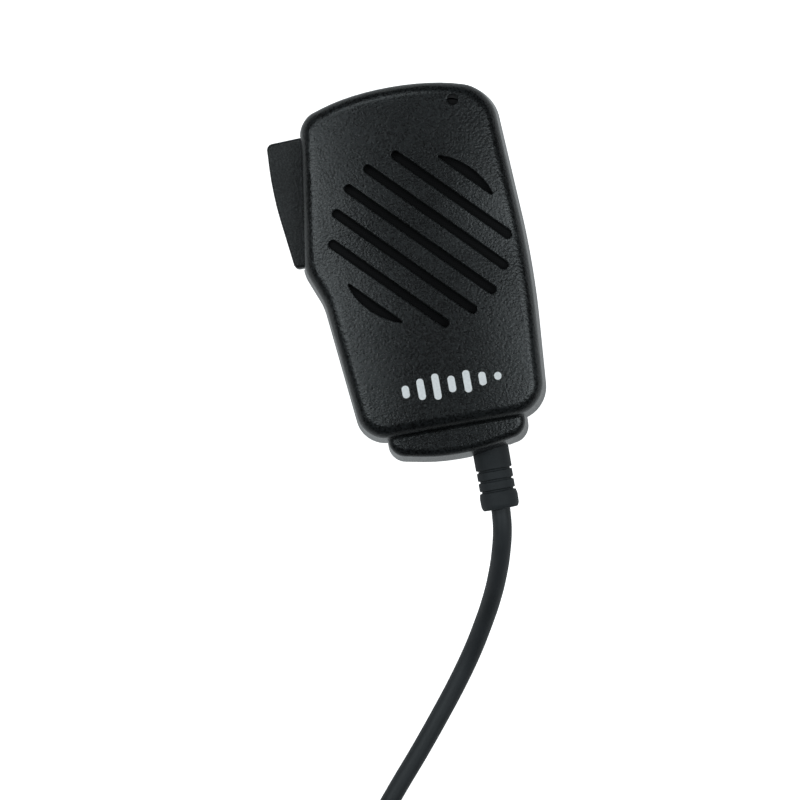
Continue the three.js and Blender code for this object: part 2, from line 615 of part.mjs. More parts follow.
// Microphone capsule in its rubber boot, behind the sound hole
const CAPSULE_RADIUS = 3;
const CAPSULE_HEIGHT = 2.7;
const BOOT_WALL = 0.8;
const capsuleAt = [SOUND_HOLE[0] - 0.7, SOUND_HOLE[1] - 2.8];
const bootTop = FRONT_INSIDE - GAP;
const bootRadius = CAPSULE_RADIUS + GAP + BOOT_WALL;
const capsuleTop = bootTop - 0.5;
const bootBottom = capsuleTop - CAPSULE_HEIGHT - GAP - BOOT_WALL;
const boot = cut(
  rod('z', bootRadius, [bootBottom, bootTop], capsuleAt, 24),
  rod('z', CAPSULE_RADIUS + GAP, [bootBottom + BOOT_WALL, bootTop + 1], capsuleAt, 24),
  box(
    [capsuleAt[0] - 1.8, capsuleAt[0] + 1.8],
    [capsuleAt[1] - 0.9, capsuleAt[1] + 0.9],
    [bootBottom - 1, bootBottom + 1],
  ),
);
add('microphone_boot', boot, blackRubber);
const capsuleSpan = [capsuleTop - CAPSULE_HEIGHT, capsuleTop];
add('microphone_capsule', rod('z', CAPSULE_RADIUS, capsuleSpan, capsuleAt, 24), nickel);

// Leads inside the case
const LEAD_RADIUS = 0.45;
const lead = (name, points, material) => add(name, tube(points, LEAD_RADIUS, 6, 8), material);
[-1, 1].forEach((side) => {
  const colour = side < 0 ? 'black' : 'red';
  const finishOfLead = side < 0 ? blackLead : redLead;
  lead(
    `speaker_lead_${colour}`,
    [
      [side * 2.4, terminalY[0] - 0.4, terminalZ[0] - 0.2],
      [side * 3.4, terminalY[0] - 1.6, terminalZ[0] - 2],
      [side * 5 - 1, terminalY[0] - 1, onBoard + 0.3],
    ],
    finishOfLead,
  );
  lead(
    `microphone_lead_${colour}`,
    [
      [capsuleAt[0] + side * 1.1, capsuleAt[1], bootBottom - 0.4],
      [capsuleAt[0] + side * 1.1 - 1.5, capsuleAt[1] - 3, bootBottom - 3],
      [boardRight - 8 + side * 1.1, boardSpan[1] - 3, onBoard + 0.3],
    ],
    finishOfLead,
  );
});

// ---------------------------------------------------------------------------------------------
// Swivel clip on the rear cover

const BASE_TOP_Z = CASE_BACK - SWIVEL_BOSS - GAP;
const baseZ = [BASE_TOP_Z - CLIP_PLATE, BASE_TOP_Z];
const [swivelHeadRadius, swivelHeadHeight] = SWIVEL_HEAD;
const washerZ = [baseZ[0] - GAP - 0.4, baseZ[0] - GAP];
const swivelHeadTop = washerZ[0] - GAP;
const PIN_HOLE = CLIP_PIN_RADIUS + GAP;
const EAR_RADIUS = 3;
const outerEars = [-1, 1].map((side) => {
  const span = side < 0
    ? [-CLIP_BASE_HALF_WIDTH, -CLIP_BASE_HALF_WIDTH + EAR]
    : [CLIP_BASE_HALF_WIDTH - EAR, CLIP_BASE_HALF_WIDTH];
  return join(
    rod('x', EAR_RADIUS - 0.6, span, [CLIP_HINGE_Y, CLIP_HINGE_Z], 20),
    box(span, [CLIP_HINGE_Y - EAR_RADIUS, CLIP_HINGE_Y + EAR_RADIUS], [CLIP_HINGE_Z, baseZ[0] + 0.5]),
  );
});
const clipBase = cut(
  join(
    prism(
      outline([
        [CLIP_BASE_HALF_WIDTH, CLIP_BASE_TOP, 4],
        [-CLIP_BASE_HALF_WIDTH, CLIP_BASE_TOP, 4],
        [-CLIP_BASE_HALF_WIDTH + 1, -CLIP_LENGTH, 3],
        [CLIP_BASE_HALF_WIDTH - 1, -CLIP_LENGTH, 3],
      ]),
      baseZ,
    ),
    ...outerEars,
  ),
  rod('z', SWIVEL_SCREW_RADIUS + 0.5, [baseZ[0] - 1, baseZ[1] + 1], [0, 0]),
  rod('x', PIN_HOLE, [-FAR, FAR], [CLIP_HINGE_Y, CLIP_HINGE_Z], 20),
);
add('clip_base', clipBase, blackClip);

const JAW_EAR = CLIP_BASE_HALF_WIDTH - EAR - GAP;
const jawEars = [-1, 1].map((side) => {
  const span = side < 0 ? [-JAW_EAR, -JAW_EAR + EAR] : [JAW_EAR - EAR, JAW_EAR];
  return join(
    rod('x', EAR_RADIUS - 0.6, span, [CLIP_HINGE_Y, CLIP_HINGE_Z], 20),
    box(span, [CLIP_HINGE_Y - EAR_RADIUS, CLIP_HINGE_Y + EAR_RADIUS], [JAW_PLATE - 0.5, CLIP_HINGE_Z]),
  );
});
const jawLip = box(
  [-JAW_HALF_WIDTH + 1.4, JAW_HALF_WIDTH - 1.4],
  [-CLIP_LENGTH + 0.4, -CLIP_LENGTH + 2.6],
  [JAW_PLATE - 0.5, baseZ[0] - GAP],
);
const thumbGrooves = [0, 1, 2].map((i) =>
  rod('x', 0.5, [-JAW_HALF_WIDTH - 1, JAW_HALF_WIDTH + 1], [CLIP_THUMB - 2.5 - 2.2 * i, 0], 12));
const clipJaw = cut(
  join(
    prism(
      outline([
        [JAW_HALF_WIDTH, CLIP_THUMB, 4],
        [-JAW_HALF_WIDTH, CLIP_THUMB, 4],
        [-JAW_HALF_WIDTH + 1, -CLIP_LENGTH, 3],
        [JAW_HALF_WIDTH - 1, -CLIP_LENGTH, 3],
      ]),
      [0, JAW_PLATE],
    ),
    ...jawEars,
    jawLip,
  ),
  rod('x', PIN_HOLE, [-FAR, FAR], [CLIP_HINGE_Y, CLIP_HINGE_Z], 20),
  ...thumbGrooves,
);
add('clip_jaw', clipJaw, blackClip);
const pinSpan = [-CLIP_BASE_HALF_WIDTH - 0.5, CLIP_BASE_HALF_WIDTH + 0.5];
add('clip_pin', rod('x', CLIP_PIN_RADIUS, pinSpan, [CLIP_HINGE_Y, CLIP_HINGE_Z], 16), steel);

// The torsion spring's outer shape: its coil round the pin, and one leg on each plate
const springSpan = [-JAW_EAR + EAR + GAP, JAW_EAR - EAR - GAP];
const armSpan = [CLIP_HINGE_Y - 8, CLIP_HINGE_Y];
const wire = 2 * SPRING_WIRE;
const spring = cut(
  join(
    rod('x', SPRING_RADIUS, springSpan, [CLIP_HINGE_Y, CLIP_HINGE_Z], 20),
    box([springSpan[0], springSpan[0] + wire], armSpan, [CLIP_HINGE_Z + 1, CLIP_HINGE_Z + 1 + wire]),
    box([springSpan[1] - wire, springSpan[1]], armSpan, [CLIP_HINGE_Z - 1 - wire, CLIP_HINGE_Z - 1]),
  ),
  rod('x', SPRING_RADIUS - 2 * SPRING_WIRE + 0.1, [-FAR, FAR], [CLIP_HINGE_Y, CLIP_HINGE_Z], 20),
);
add('clip_spring', spring, steel);

const insertTop = FLOOR + GAP + INSERT_LENGTH;
const screwHead = rod('z', swivelHeadRadius, [swivelHeadTop - swivelHeadHeight, swivelHeadTop], [0, 0], 24);
const swivelScrew = cut(
  join(screwHead, rod('z', SWIVEL_SCREW_RADIUS, [swivelHeadTop - 0.5, insertTop - 0.4], [0, 0], 20)),
  box([-4, 4], [-0.4, 0.4], [0, swivelHeadTop - swivelHeadHeight + 0.7]),
  box([-0.4, 0.4], [-4, 4], [0, swivelHeadTop - swivelHeadHeight + 0.7]),
);
add('clip_swivel_screw', swivelScrew, steel);
const ring = (outer, inner, [z0, z1]) =>
  cut(rod('z', outer, [z0, z1], [0, 0], 28), rod('z', inner, [z0 - 1, z1 + 1], [0, 0], 28));
add('clip_washer', ring(swivelHeadRadius + 0.6, SWIVEL_SCREW_RADIUS + GAP, washerZ), steel);
add('swivel_insert', ring(INSERT_RADIUS, SWIVEL_SCREW_RADIUS + GAP, [FLOOR + GAP, insertTop]), brass);

// ---------------------------------------------------------------------------------------------
// Cord

// Strain relief: a flange inside the chin, a collar, rings with grooves between them, and an end barrel
const RELIEF_FLANGE = [RELIEF_RADIUS + 1, 1.6]; // radius and thickness
const CHIN_BOW = 0.8; // how much further in the chin's bowed wall reaches beside the flange
const RELIEF_START = CHIN_EDGE + WALL + GAP + CHIN_BOW + RELIEF_FLANGE[1];
const reliefOut = RELIEF_START - CHIN_EDGE; // from its inner end to the chin's edge
const grooveRadius = RELIEF_RADIUS - 0.5;
const ringPitch = (RELIEF_LENGTH - RELIEF_COLLAR - 3.4) / 2;
const BORE = CORD_RADIUS + GAP;
const reliefProfile = [
  [BORE, 0],
  [RELIEF_FLANGE[0], 0],
  RELIEF_FLANGE,
  [RELIEF_RADIUS, RELIEF_FLANGE[1]],
];
for (let i = 0; i < RELIEF_RINGS; i += 1) {
  const at = reliefOut + RELIEF_COLLAR + i * ringPitch;
  reliefProfile.push([RELIEF_RADIUS, at - 0.25], [grooveRadius, at], [RELIEF_RADIUS, at + 0.25]);
}
const reliefEnd = reliefOut + RELIEF_LENGTH;
reliefProfile.push(
  [RELIEF_RADIUS, reliefEnd - 0.6],
  [RELIEF_RADIUS - 0.6, reliefEnd],
  [BORE, reliefEnd],
  [BORE, 0],
);
add('cord_strain_relief', turnedAlongCord(reliefProfile, [CORD_X, RELIEF_START, CORD_Z]), blackRubber);

const innerEnd = RELIEF_START + 5.5;
const innerCord = rod('y', CORD_RADIUS, [RELIEF_START - reliefEnd + 0.5, innerEnd], [CORD_X, CORD_Z], 16);
add('cord_inner_end', innerCord, blackRubber);
const tieY = [RELIEF_START + 1, RELIEF_START + 3.4];
const tieRing = cut(
  join(
    rod('y', CORD_RADIUS + 1.2, tieY, [CORD_X, CORD_Z], 20),
    box([CORD_X + 1.5, CORD_X + 4.6], tieY, [CORD_Z - 1.4, CORD_Z + 1.4]),
  ),
  rod('y', CORD_RADIUS + GAP, [tieY[0] - 1, tieY[1] + 1], [CORD_X, CORD_Z], 20),
);
add('cord_tie', tieRing, whiteNylon);
[
  ['red', redLead],
  ['white', whiteLead],
  ['yellow', yellowLead],
  ['black', blackLead],
].forEach(([colour, material], i) => {
  const side = i - 1.5;
  lead(
    `cord_core_${colour}`,
    [
      [CORD_X + side * 1.1, innerEnd + 0.4, CORD_Z + 0.9],
      [CORD_X - 3 + side * 1.6, innerEnd + 2.6, CORD_Z + 3.2],
      [-0.5 + side * 2.6, boardSpan[0] + 0.1, onBoard + 1.2],
    ],
    material,
  );
});

// The free cord: out of the strain relief, down to the table, and along it to the coil
const cordExit = RELIEF_START - reliefEnd;
const cordRoute = [
  [CORD_X, cordExit - GAP, CORD_Z],
  [6.5, cordExit - 4, 20.1],
  [5.5, cordExit - 8.5, 18.4],
  [3.9, cordExit - 13.5, 15.1],
  [1.7, cordExit - 18.7, 10.9],
  [-1.0, cordExit - 23.8, 6.9],
  [-4.2, cordExit - 29.1, 3.9],
  [-8.2, cordExit - 34.8, 2.4],
  [-13.2, cordExit - 41.2, 2.05],
  [-18.8, cordExit - 48.0, 2.05],
  [-25.0, cordExit - 55.2, 2.05],
  [-31.2, cordExit - 62.9, 2.05],
  [-36.8, cordExit - 71.4, 2.05],
  [-41.6, cordExit - 80.6, 2.05],
  [-45.2, cordExit - 89.6, 2.05],
  [-47.2, cordExit - 95.4, 2.05],
];
const COIL_OUTSIDE = COIL_RADIUS + COIL_BAND / 2;
const COIL_INSIDE = COIL_RADIUS - COIL_BAND / 2;
const coilRoom = rod('z', COIL_OUTSIDE + GAP, [-1, COIL_HEIGHT + 1], COIL_CENTRE, 48);
const CORD_SIDES = 10;
add('cord', cut(tube(cordRoute, CORD_RADIUS, CORD_SIDES, 16), coilRoom), blackRubber);

const coilProfile = [
  [COIL_INSIDE, 0.6],
  [COIL_INSIDE + 1, 0],
  [COIL_OUTSIDE - 1, 0],
  [COIL_OUTSIDE, 0.6],
  [COIL_OUTSIDE, COIL_HEIGHT - 1],
  [COIL_OUTSIDE - 1, COIL_HEIGHT],
  [COIL_INSIDE + 1, COIL_HEIGHT],
  [COIL_INSIDE, COIL_HEIGHT - 1],
  [COIL_INSIDE, 0.6],
];
const coil = turned(coilProfile, 48).translate([...COIL_CENTRE, 0]);
add('cord_coil', coil, blackRubber);

// A strap round the coil's bundle of turns, on the side away from the microphone
const STRAP_THICKNESS = 0.8;
const STRAP_HALF_WIDTH = 3;
const STRAP_INNER_GAP = 0.8; // inside the coil, where its round edge bows towards the strap
const strapX = [COIL_CENTRE[0] - STRAP_HALF_WIDTH, COIL_CENTRE[0] + STRAP_HALF_WIDTH];
const strapOver = [COIL_CENTRE[1] + COIL_INSIDE - STRAP_INNER_GAP, COIL_CENTRE[1] + COIL_OUTSIDE + GAP];
const strap = cut(
  box(
    strapX,
    [strapOver[0] - STRAP_THICKNESS, strapOver[1] + STRAP_THICKNESS],
    [0, COIL_HEIGHT + GAP + STRAP_THICKNESS],
  ),
  box([-FAR, FAR], strapOver, [-1, COIL_HEIGHT + GAP]),
);
add('coil_strap', strap, blackRubber);

// The cord's last stretch, from the coil to the plug
const [plugX, plugY] = PLUG_CENTRE;
const PLUG_Z = PLUG_SIZE[2] / 2;
const plugReliefStart = plugY - PLUG_RELIEF_LENGTH;
const tailRoute = [
  [-12.0, -187.0, 5.2],
  [-7.0, -187.0, 3.8],
  [-2.0, -186.9, 2.7],
  [4.4, -186.0, 2.1],
  [11.0, -182.7, 2.1],
  [15.7, -177.2, 3.1],
  [17.3, -173.2, 4.5],
  [plugX, plugReliefStart - GAP, PLUG_Z],
];
add('cord_tail', cut(tube(tailRoute, CORD_RADIUS, CORD_SIDES, 9), coilRoom), blackRubber);

// Two-pin plug
const plugReliefProfile = [
  [BORE, 0],
  [CORD_RADIUS + 0.9, 0],
  [CORD_RADIUS + 2.2, PLUG_RELIEF_LENGTH - GAP],
  [BORE, PLUG_RELIEF_LENGTH - GAP],
  [BORE, 0],
];
const plugRelief = solid(
  new THREE.LatheGeometry(plugReliefProfile.map(([r, along]) => new THREE.Vector2(r, along)), 20)
    .translate(plugX, plugReliefStart, PLUG_Z),
);
add('plug_strain_relief', plugRelief, blackRubber);
const plugHalf = PLUG_SIZE[0] / 2;
const plugFace = plugY + PLUG_SIZE[1];
const pinSeats = [-1, 1].map((side) => plugX + (side * PLUG_PIN_SPACING) / 2);
const plugBlock = roundedPrism(
  outline([
    [plugX + plugHalf, plugFace, 1.5],
    [plugX - plugHalf, plugFace, 1.5],
    [plugX - plugHalf, plugY + 5, 3],
    [plugX - plugHalf / 2, plugY, 2],
    [plugX + plugHalf / 2, plugY, 2],
    [plugX + plugHalf, plugY + 5, 3],
  ]),
  [0, PLUG_SIZE[2]],
  1,
);
const SEAT_DEPTH = 4;
const plugPins = [
  ['small', ...SMALL_PIN, pinSeats[0]],
  ['large', ...BIG_PIN, pinSeats[1]],
];
const plugHousing = cut(
  plugBlock,
  ...plugPins.map(([, radius, , x]) =>
    rod('y', radius + GAP, [plugFace - SEAT_DEPTH, plugFace + 1], [x, PLUG_Z], 20)),
);
add('plug_housing', plugHousing, blackPlastic);
plugPins.forEach(([size, radius, length, x]) => {
  const start = plugFace - SEAT_DEPTH + GAP;
  const end = plugFace + length;
  const bandWidth = 0.9;
  const sleeveEnd = end - 0.5 * length;
  const tipStart = sleeveEnd + bandWidth + 2 * 0.1;
  add(`plug_${size}_sleeve`, rod('y', radius, [start, sleeveEnd], [x, PLUG_Z], 20), nickel);
  const band = [sleeveEnd + 0.1, sleeveEnd + 0.1 + bandWidth];
  add(`plug_${size}_insulator`, rod('y', radius - 0.15, band, [x, PLUG_Z], 20), blackPlastic);
  const tipProfile = [
    [0, tipStart],
    [radius, tipStart],
    [radius, end - 2.6],
    [radius - 0.45, end - 1.9],
    [radius - 0.1, end - 1.3],
    [0.4, end],
    [0, end],
  ];
  const tipPoints = tipProfile.map(([r, y]) => new THREE.Vector2(r, y));
  const tip = new THREE.LatheGeometry(tipPoints, 20).translate(x, 0, PLUG_Z);
  add(`plug_${size}_tip`, solid(tip), nickel);
});

export default microphone;
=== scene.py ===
"""A hand-held speaker microphone: its looks, piece by piece in the order it is put together."""
import math

import bpy
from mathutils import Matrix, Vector


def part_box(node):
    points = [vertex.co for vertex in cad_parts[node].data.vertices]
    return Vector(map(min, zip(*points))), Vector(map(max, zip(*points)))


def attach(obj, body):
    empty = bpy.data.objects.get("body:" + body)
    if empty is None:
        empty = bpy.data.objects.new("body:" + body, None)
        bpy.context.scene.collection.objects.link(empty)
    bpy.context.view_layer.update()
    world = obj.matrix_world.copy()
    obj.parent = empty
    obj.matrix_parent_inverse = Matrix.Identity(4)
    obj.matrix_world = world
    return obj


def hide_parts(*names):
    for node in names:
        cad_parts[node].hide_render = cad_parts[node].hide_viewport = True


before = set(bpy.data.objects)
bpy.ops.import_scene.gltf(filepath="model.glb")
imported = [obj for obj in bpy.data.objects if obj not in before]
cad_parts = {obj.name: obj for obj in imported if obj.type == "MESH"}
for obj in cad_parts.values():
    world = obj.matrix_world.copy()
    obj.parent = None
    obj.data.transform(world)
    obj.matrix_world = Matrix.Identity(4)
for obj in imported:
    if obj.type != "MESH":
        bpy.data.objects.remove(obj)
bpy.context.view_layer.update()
MM = 0.001

# ----------------------------------------------------------------------------------------------
# Camera: straight above the grille and looking down, turned so that the case leans ten degrees to
# the left. The width that it takes in is given at the height of the front face.
CASE_LEAN = math.radians(10)
VIEW_WIDTH = 164.3 * MM
VIEW_CENTRE = Vector((-9.85, -31.8, 35.5)) * MM
CAMERA_HEIGHT = 1.2

bpy.ops.object.camera_add(
    location=VIEW_CENTRE + Vector((0, 0, CAMERA_HEIGHT)), rotation=(0, 0, -CASE_LEAN)
)
camera = bpy.context.object
camera.data.sensor_width = 36
camera.data.lens = camera.data.sensor_width * CAMERA_HEIGHT / VIEW_WIDTH
camera.data.clip_start = 0.01
camera.data.clip_end = 20
bpy.context.scene.camera = camera

# ----------------------------------------------------------------------------------------------
# Table and studio light: a white table that throws little light back, a soft box at each side and
# one beyond the top. The dark gap overhead draws the gentle crown of the front face.
class Value:
    """A number that varies over a surface, so that shader sums are written as sums."""

    def __init__(self, finish, socket):
        self.finish = finish
        self.socket = socket

    def sum(self, operation, *others):
        return self.finish.node("ShaderNodeMath", {"operation": operation}, *others)

    def __add__(self, other):
        return self.sum("ADD", self, other)

    def __rsub__(self, other):
        return self.sum("SUBTRACT", other, self)

    def __mul__(self, other):
        return self.sum("MULTIPLY", self, other)

    __radd__ = __add__
    __rmul__ = __mul__


class Finish:
    """A material being made: the shader's own sockets hold what is the same all over."""

    def __init__(self, name, **constant):
        self.material = bpy.data.materials.new(name)
        self.material.use_nodes = True
        self.tree = self.material.node_tree
        self.shader = self.tree.nodes["Principled BSDF"]
        for words, value in constant.items():
            self.shader.inputs[words.replace("_", " ")].default_value = value
        self.place = self.node("ShaderNodeTexCoord", {}, out="Object")

    def node(self, kind, settings, *values, out=0, **named):
        made = self.tree.nodes.new(kind)
        for key, value in settings.items():
            if key == "stops":
                for k, (at, shade) in enumerate(value):
                    stops = made.color_ramp.elements
                    stop = stops[k] if k < len(stops) else stops.new(at)
                    stop.position = at
                    stop.color = (*[shade] * 3, 1) if isinstance(shade, float) else (*shade, 1)
            else:
                setattr(made, key, value)
        pairs = [*enumerate(values), *((words.replace("_", " "), v) for words, v in named.items())]
        for key, value in pairs:
            if isinstance(value, Value):
                self.tree.links.new(value.socket, made.inputs[key])
            else:
                made.inputs[key].default_value = value
        return Value(self, made.outputs[out])

    def noise(self, size_mm, detail, roughness=0.5):
        return self.node("ShaderNodeTexNoise", {}, Vector=self.place,
                         Scale=1000 / size_mm, Detail=detail, Roughness=roughness)

    def cells(self, size_mm):
        return self.node("ShaderNodeTexVoronoi", {}, Vector=self.place, Scale=1000 / size_mm)

    def shades(self, amount, *stops):
        return self.node("ShaderNodeValToRGB", {"stops": stops}, amount)

    def feed(self, words, value):
        self.tree.links.new(value.socket, self.shader.inputs[words])

    def bump(self, height, depth_mm, strength=1.0):
        self.feed("Normal", self.node("ShaderNodeBump", {}, Strength=strength,
                                      Distance=depth_mm * MM, Height=height))


TABLE_GLOW = 0.22  # what it gives to the object; seen straight, it is a full white
bpy.ops.mesh.primitive_plane_add(size=6, location=(0, 0, -0.2 * MM))
table = bpy.context.object
table.name = "table"
table_white = Finish("table_white", Base_Color=(0.8, 0.8, 0.8, 1), Emission_Color=(1, 1, 1, 1),
                     Roughness=0.9, Specular_IOR_Level=0.1)
seen_straight = table_white.node("ShaderNodeLightPath", {}, out="Is Camera Ray")
table_white.feed("Emission Strength", table_white.node(
    "ShaderNodeMapRange", {}, Value=seen_straight, To_Min=TABLE_GLOW, To_Max=1.0))
table.data.materials.append(table_white.material)

world = bpy.data.worlds.new("studio")
world.use_nodes = True
world.node_tree.nodes["Background"].inputs["Color"].default_value = (0.9, 0.93, 1, 1)
world.node_tree.nodes["Background"].inputs["Strength"].default_value = 0.06
bpy.context.scene.world = world
bpy.context.scene.view_settings.view_transform = "Standard"
LAMP_COLOUR = (0.88, 0.97, 1)  # a little bluer than the table


def soft_box(name, place, size, watts):
    bpy.ops.object.light_add(type="AREA", location=place)
    lamp = bpy.context.object
    lamp.name = name
    lamp.data.shape = "RECTANGLE"
    lamp.data.size, lamp.data.size_y = size
    lamp.data.energy = watts
    lamp.data.color = LAMP_COLOUR
    lamp.rotation_euler = (-Vector(place)).to_track_quat("-Z", "Y").to_euler()


soft_box("left_box", (-0.66, 0.1, 1.0), (0.24, 0.8), 4.4)
soft_box("right_box", (0.66, -0.15, 1.0), (0.24, 0.8), 4.9)
soft_box("top_box", (-0.15, 0.62, 1.05), (0.6, 0.3), 2.6)

# ----------------------------------------------------------------------------------------------
# Cord: one length of round PVC-jacketed cable, 4 mm thick. It leaves the strain relief, falls to the
# table, runs away in a long S, and is put away in a coil of two layers with the plug beside it.
CORD_DIAMETER = 4 * MM
ON_TABLE = 2.05 * MM  # the cord's middle where it lies on the table
jacket = Finish("cord_jacket", Specular_IOR_Level=0.4)
smudge = jacket.noise(9, detail=3)
grain = jacket.noise(0.35, detail=2)
jacket.feed("Base Color", jacket.shades(
    smudge, (0.3, (0.014, 0.0165, 0.0185)), (0.7, (0.024, 0.027, 0.030))))
jacket.feed("Roughness", 0.5 + smudge * 0.16)
jacket.bump(grain, 0.05, 0.5)

# From the strain relief, whose bore hides its first 0.4 mm, down to the table and away.
relief_low, relief_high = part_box("cord_strain_relief")
CORD_X = (relief_low.x + relief_high.x) / 2
CORD_Z = (relief_low.z + relief_high.z) / 2
cord_exit = relief_low.y
cord_route = [
    (CORD_X, cord_exit + 0.4 * MM, CORD_Z),
    (6.5 * MM, cord_exit - 4 * MM, 20.1 * MM),
    (5.5 * MM, cord_exit - 8.5 * MM, 18.4 * MM),
    (3.9 * MM, cord_exit - 13.5 * MM, 15.1 * MM),
    (1.7 * MM, cord_exit - 18.7 * MM, 10.9 * MM),
    (-1.0 * MM, cord_exit - 23.8 * MM, 6.9 * MM),
    (-4.2 * MM, cord_exit - 29.1 * MM, 3.9 * MM),
    (-8.2 * MM, cord_exit - 34.8 * MM, 2.4 * MM),
    (-13.2 * MM, cord_exit - 41.2 * MM, ON_TABLE),
    (-18.8 * MM, cord_exit - 48.0 * MM, ON_TABLE),
    (-25.0 * MM, cord_exit - 55.2 * MM, ON_TABLE),
    (-31.2 * MM, cord_exit - 62.9 * MM, ON_TABLE),
    (-36.8 * MM, cord_exit - 71.4 * MM, ON_TABLE),
    (-41.6 * MM, cord_exit - 80.6 * MM, ON_TABLE),
    (-45.2 * MM, cord_exit - 89.6 * MM, ON_TABLE),
]

# The coil: each leg of the winding ends at an angle in degrees from +X, a radius and a height.
coil_low, coil_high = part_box("cord_coil")
COIL_CENTRE = (coil_low + coil_high) / 2
OUTER_TURN = (coil_high.x - coil_low.x) / 2 - CORD_DIAMETER / 2
INNER_TURN = OUTER_TURN - 10 * MM
POINTS_A_TURN = 16
STRAP_ANGLE = 450  # at the top of the ring, once in every turn
STRAP_SPREAD = 22  # degrees over which the strap lifts the cord
STRAP_LIFT = 0.4 * MM
coil_legs = [
    (165, OUTER_TURN - 0.4 * MM, ON_TABLE),
    (1065, INNER_TURN, ON_TABLE),
    (1215, INNER_TURN, ON_TABLE + CORD_DIAMETER),
    (2070, OUTER_TURN, ON_TABLE + CORD_DIAMETER),
]
coil_route = []
for (start, r0, z0), (end, r1, z1) in zip(coil_legs, coil_legs[1:]):
    steps = round((end - start) / 360 * POINTS_A_TURN)
    for k in range(steps):
        share = k / steps
        degrees = start + (end - start) * share
        angle = math.radians(degrees)
        radius = r0 + (r1 - r0) * share
        from_strap = (degrees - STRAP_ANGLE + 180) % 360 - 180
        lift = STRAP_LIFT * math.exp(-((from_strap / STRAP_SPREAD) ** 2))
        coil_route.append((
            COIL_CENTRE.x + radius * math.cos(angle),
            COIL_CENTRE.y + radius * math.sin(angle),
            z0 + (z1 - z0) * share + lift,
        ))

# From the coil, over it and back on to the table, round to the plug.
plug_relief_low, plug_relief_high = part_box("plug_strain_relief")
PLUG_X = (plug_relief_low.x + plug_relief_high.x) / 2
PLUG_Z = (plug_relief_low.z + plug_relief_high.z) / 2
tail_route = [
    (-22.0 * MM, -187.0 * MM, 6.0 * MM),
    (-17.0 * MM, -187.0 * MM, 5.8 * MM),
    (-12.0 * MM, -187.0 * MM, 5.2 * MM),
    (-7.0 * MM, -187.0 * MM, 3.8 * MM),
    (-2.0 * MM, -186.9 * MM, 2.7 * MM),
    (4.4 * MM, -186.0 * MM, 2.1 * MM),
    (11.0 * MM, -182.7 * MM, 2.1 * MM),
    (15.7 * MM, -177.2 * MM, 3.1 * MM),
    (17.3 * MM, -173.2 * MM, 4.5 * MM),
    (PLUG_X, plug_relief_low.y - 0.3 * MM, PLUG_Z),
    (PLUG_X, plug_relief_low.y + 3 * MM, PLUG_Z),
]

line = bpy.data.curves.new("cord_line", "CURVE")
line.dimensions = "3D"
line.bevel_depth = CORD_DIAMETER / 2
line.bevel_resolution = 5
line.resolution_u = 6
line.use_fill_caps = True
run = line.splines.new("BEZIER")
cord_points = cord_route + coil_route + tail_route
run.bezier_points.add(len(cord_points) - 1)
for point, place in zip(run.bezier_points, cord_points):
    point.co = place
    point.handle_left_type = point.handle_right_type = "AUTO"
line.materials.append(jacket.material)
cord_piece = bpy.data.objects.new("free_cord", line)
bpy.context.collection.objects.link(cord_piece)
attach(cord_piece, "case")
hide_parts("cord", "cord_coil", "cord_tail")

# ----------------------------------------------------------------------------------------------
# Rear cover: injection-moulded black ABS with a fine spark-eroded grain. A boss for the clip's
# swivel stands in its middle, and four recesses at the corners take the screws that close the case.
# Sizes are in millimetres; an outline's corner is its x, y and radius.
case_corners = [
    (20.4, 28.5, 8), (-0.5, 34.98, 51), (-20.4, 28.8, 4.5), (-25.0, -2.6, 6),
    (-22.0, -10.2, 10), (-18.9, -40.2, 6), (20.2, -40.2, 7), (22.5, -9, 150),
]
chin_corners = [
    (15.9, -32.2, 3), (-14.1, -32.2, 3), (-13.8, -44.1, 3.5), (0.5, -46.9, 40), (15.5, -44.1, 3.5),
]
rear_low, rear_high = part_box("rear_cover")
BOSS_BACK = rear_low.z / MM
CASE_BACK = 10.5
REAR_EDGE = rear_high.z / MM
WALL = 2
FLOOR = CASE_BACK + WALL
REAR_FILLET = 3.5
CHIN_REAR_FILLET = 1.5
INNER_FILLET = 1.5
MOULD_EDGE = 0.25
OVERLAP = 0.5  # how far a solid reaches into the one that it joins
DRAFT = (0.966, 0.98)  # the covers' taper towards their outer faces, across and along
DRAFT_CENTRE = Vector((-8, 22, 0)) * MM
BOSS_RADIUS = 7
SWIVEL_HOLE_RADIUS = 1.8
SWIVEL_HOLE = (5, 14)
POST_RADIUS = 2.9
SCREW_HOLE_RADIUS = 1.2
REAR_SCREW_HOLE = (12, 22)
HEAD_RECESS_RADIUS = 2.5
HEAD_RECESS = (5, 12.7)
screw_posts = [(-12.6, 21.8), (15.8, 17.8), (-14, -33.5), (15, -33.5)]
relief_hole = dict(radius=4.1, start=-52, end=-40, place=(CORD_X / MM, CORD_Z / MM), axis="y")
talk_opening = (-40, -1.8, 14.5), (-17.9, 25.7, 27.5)


def nothing_selected():
    bpy.ops.object.select_all(action="DESELECT")


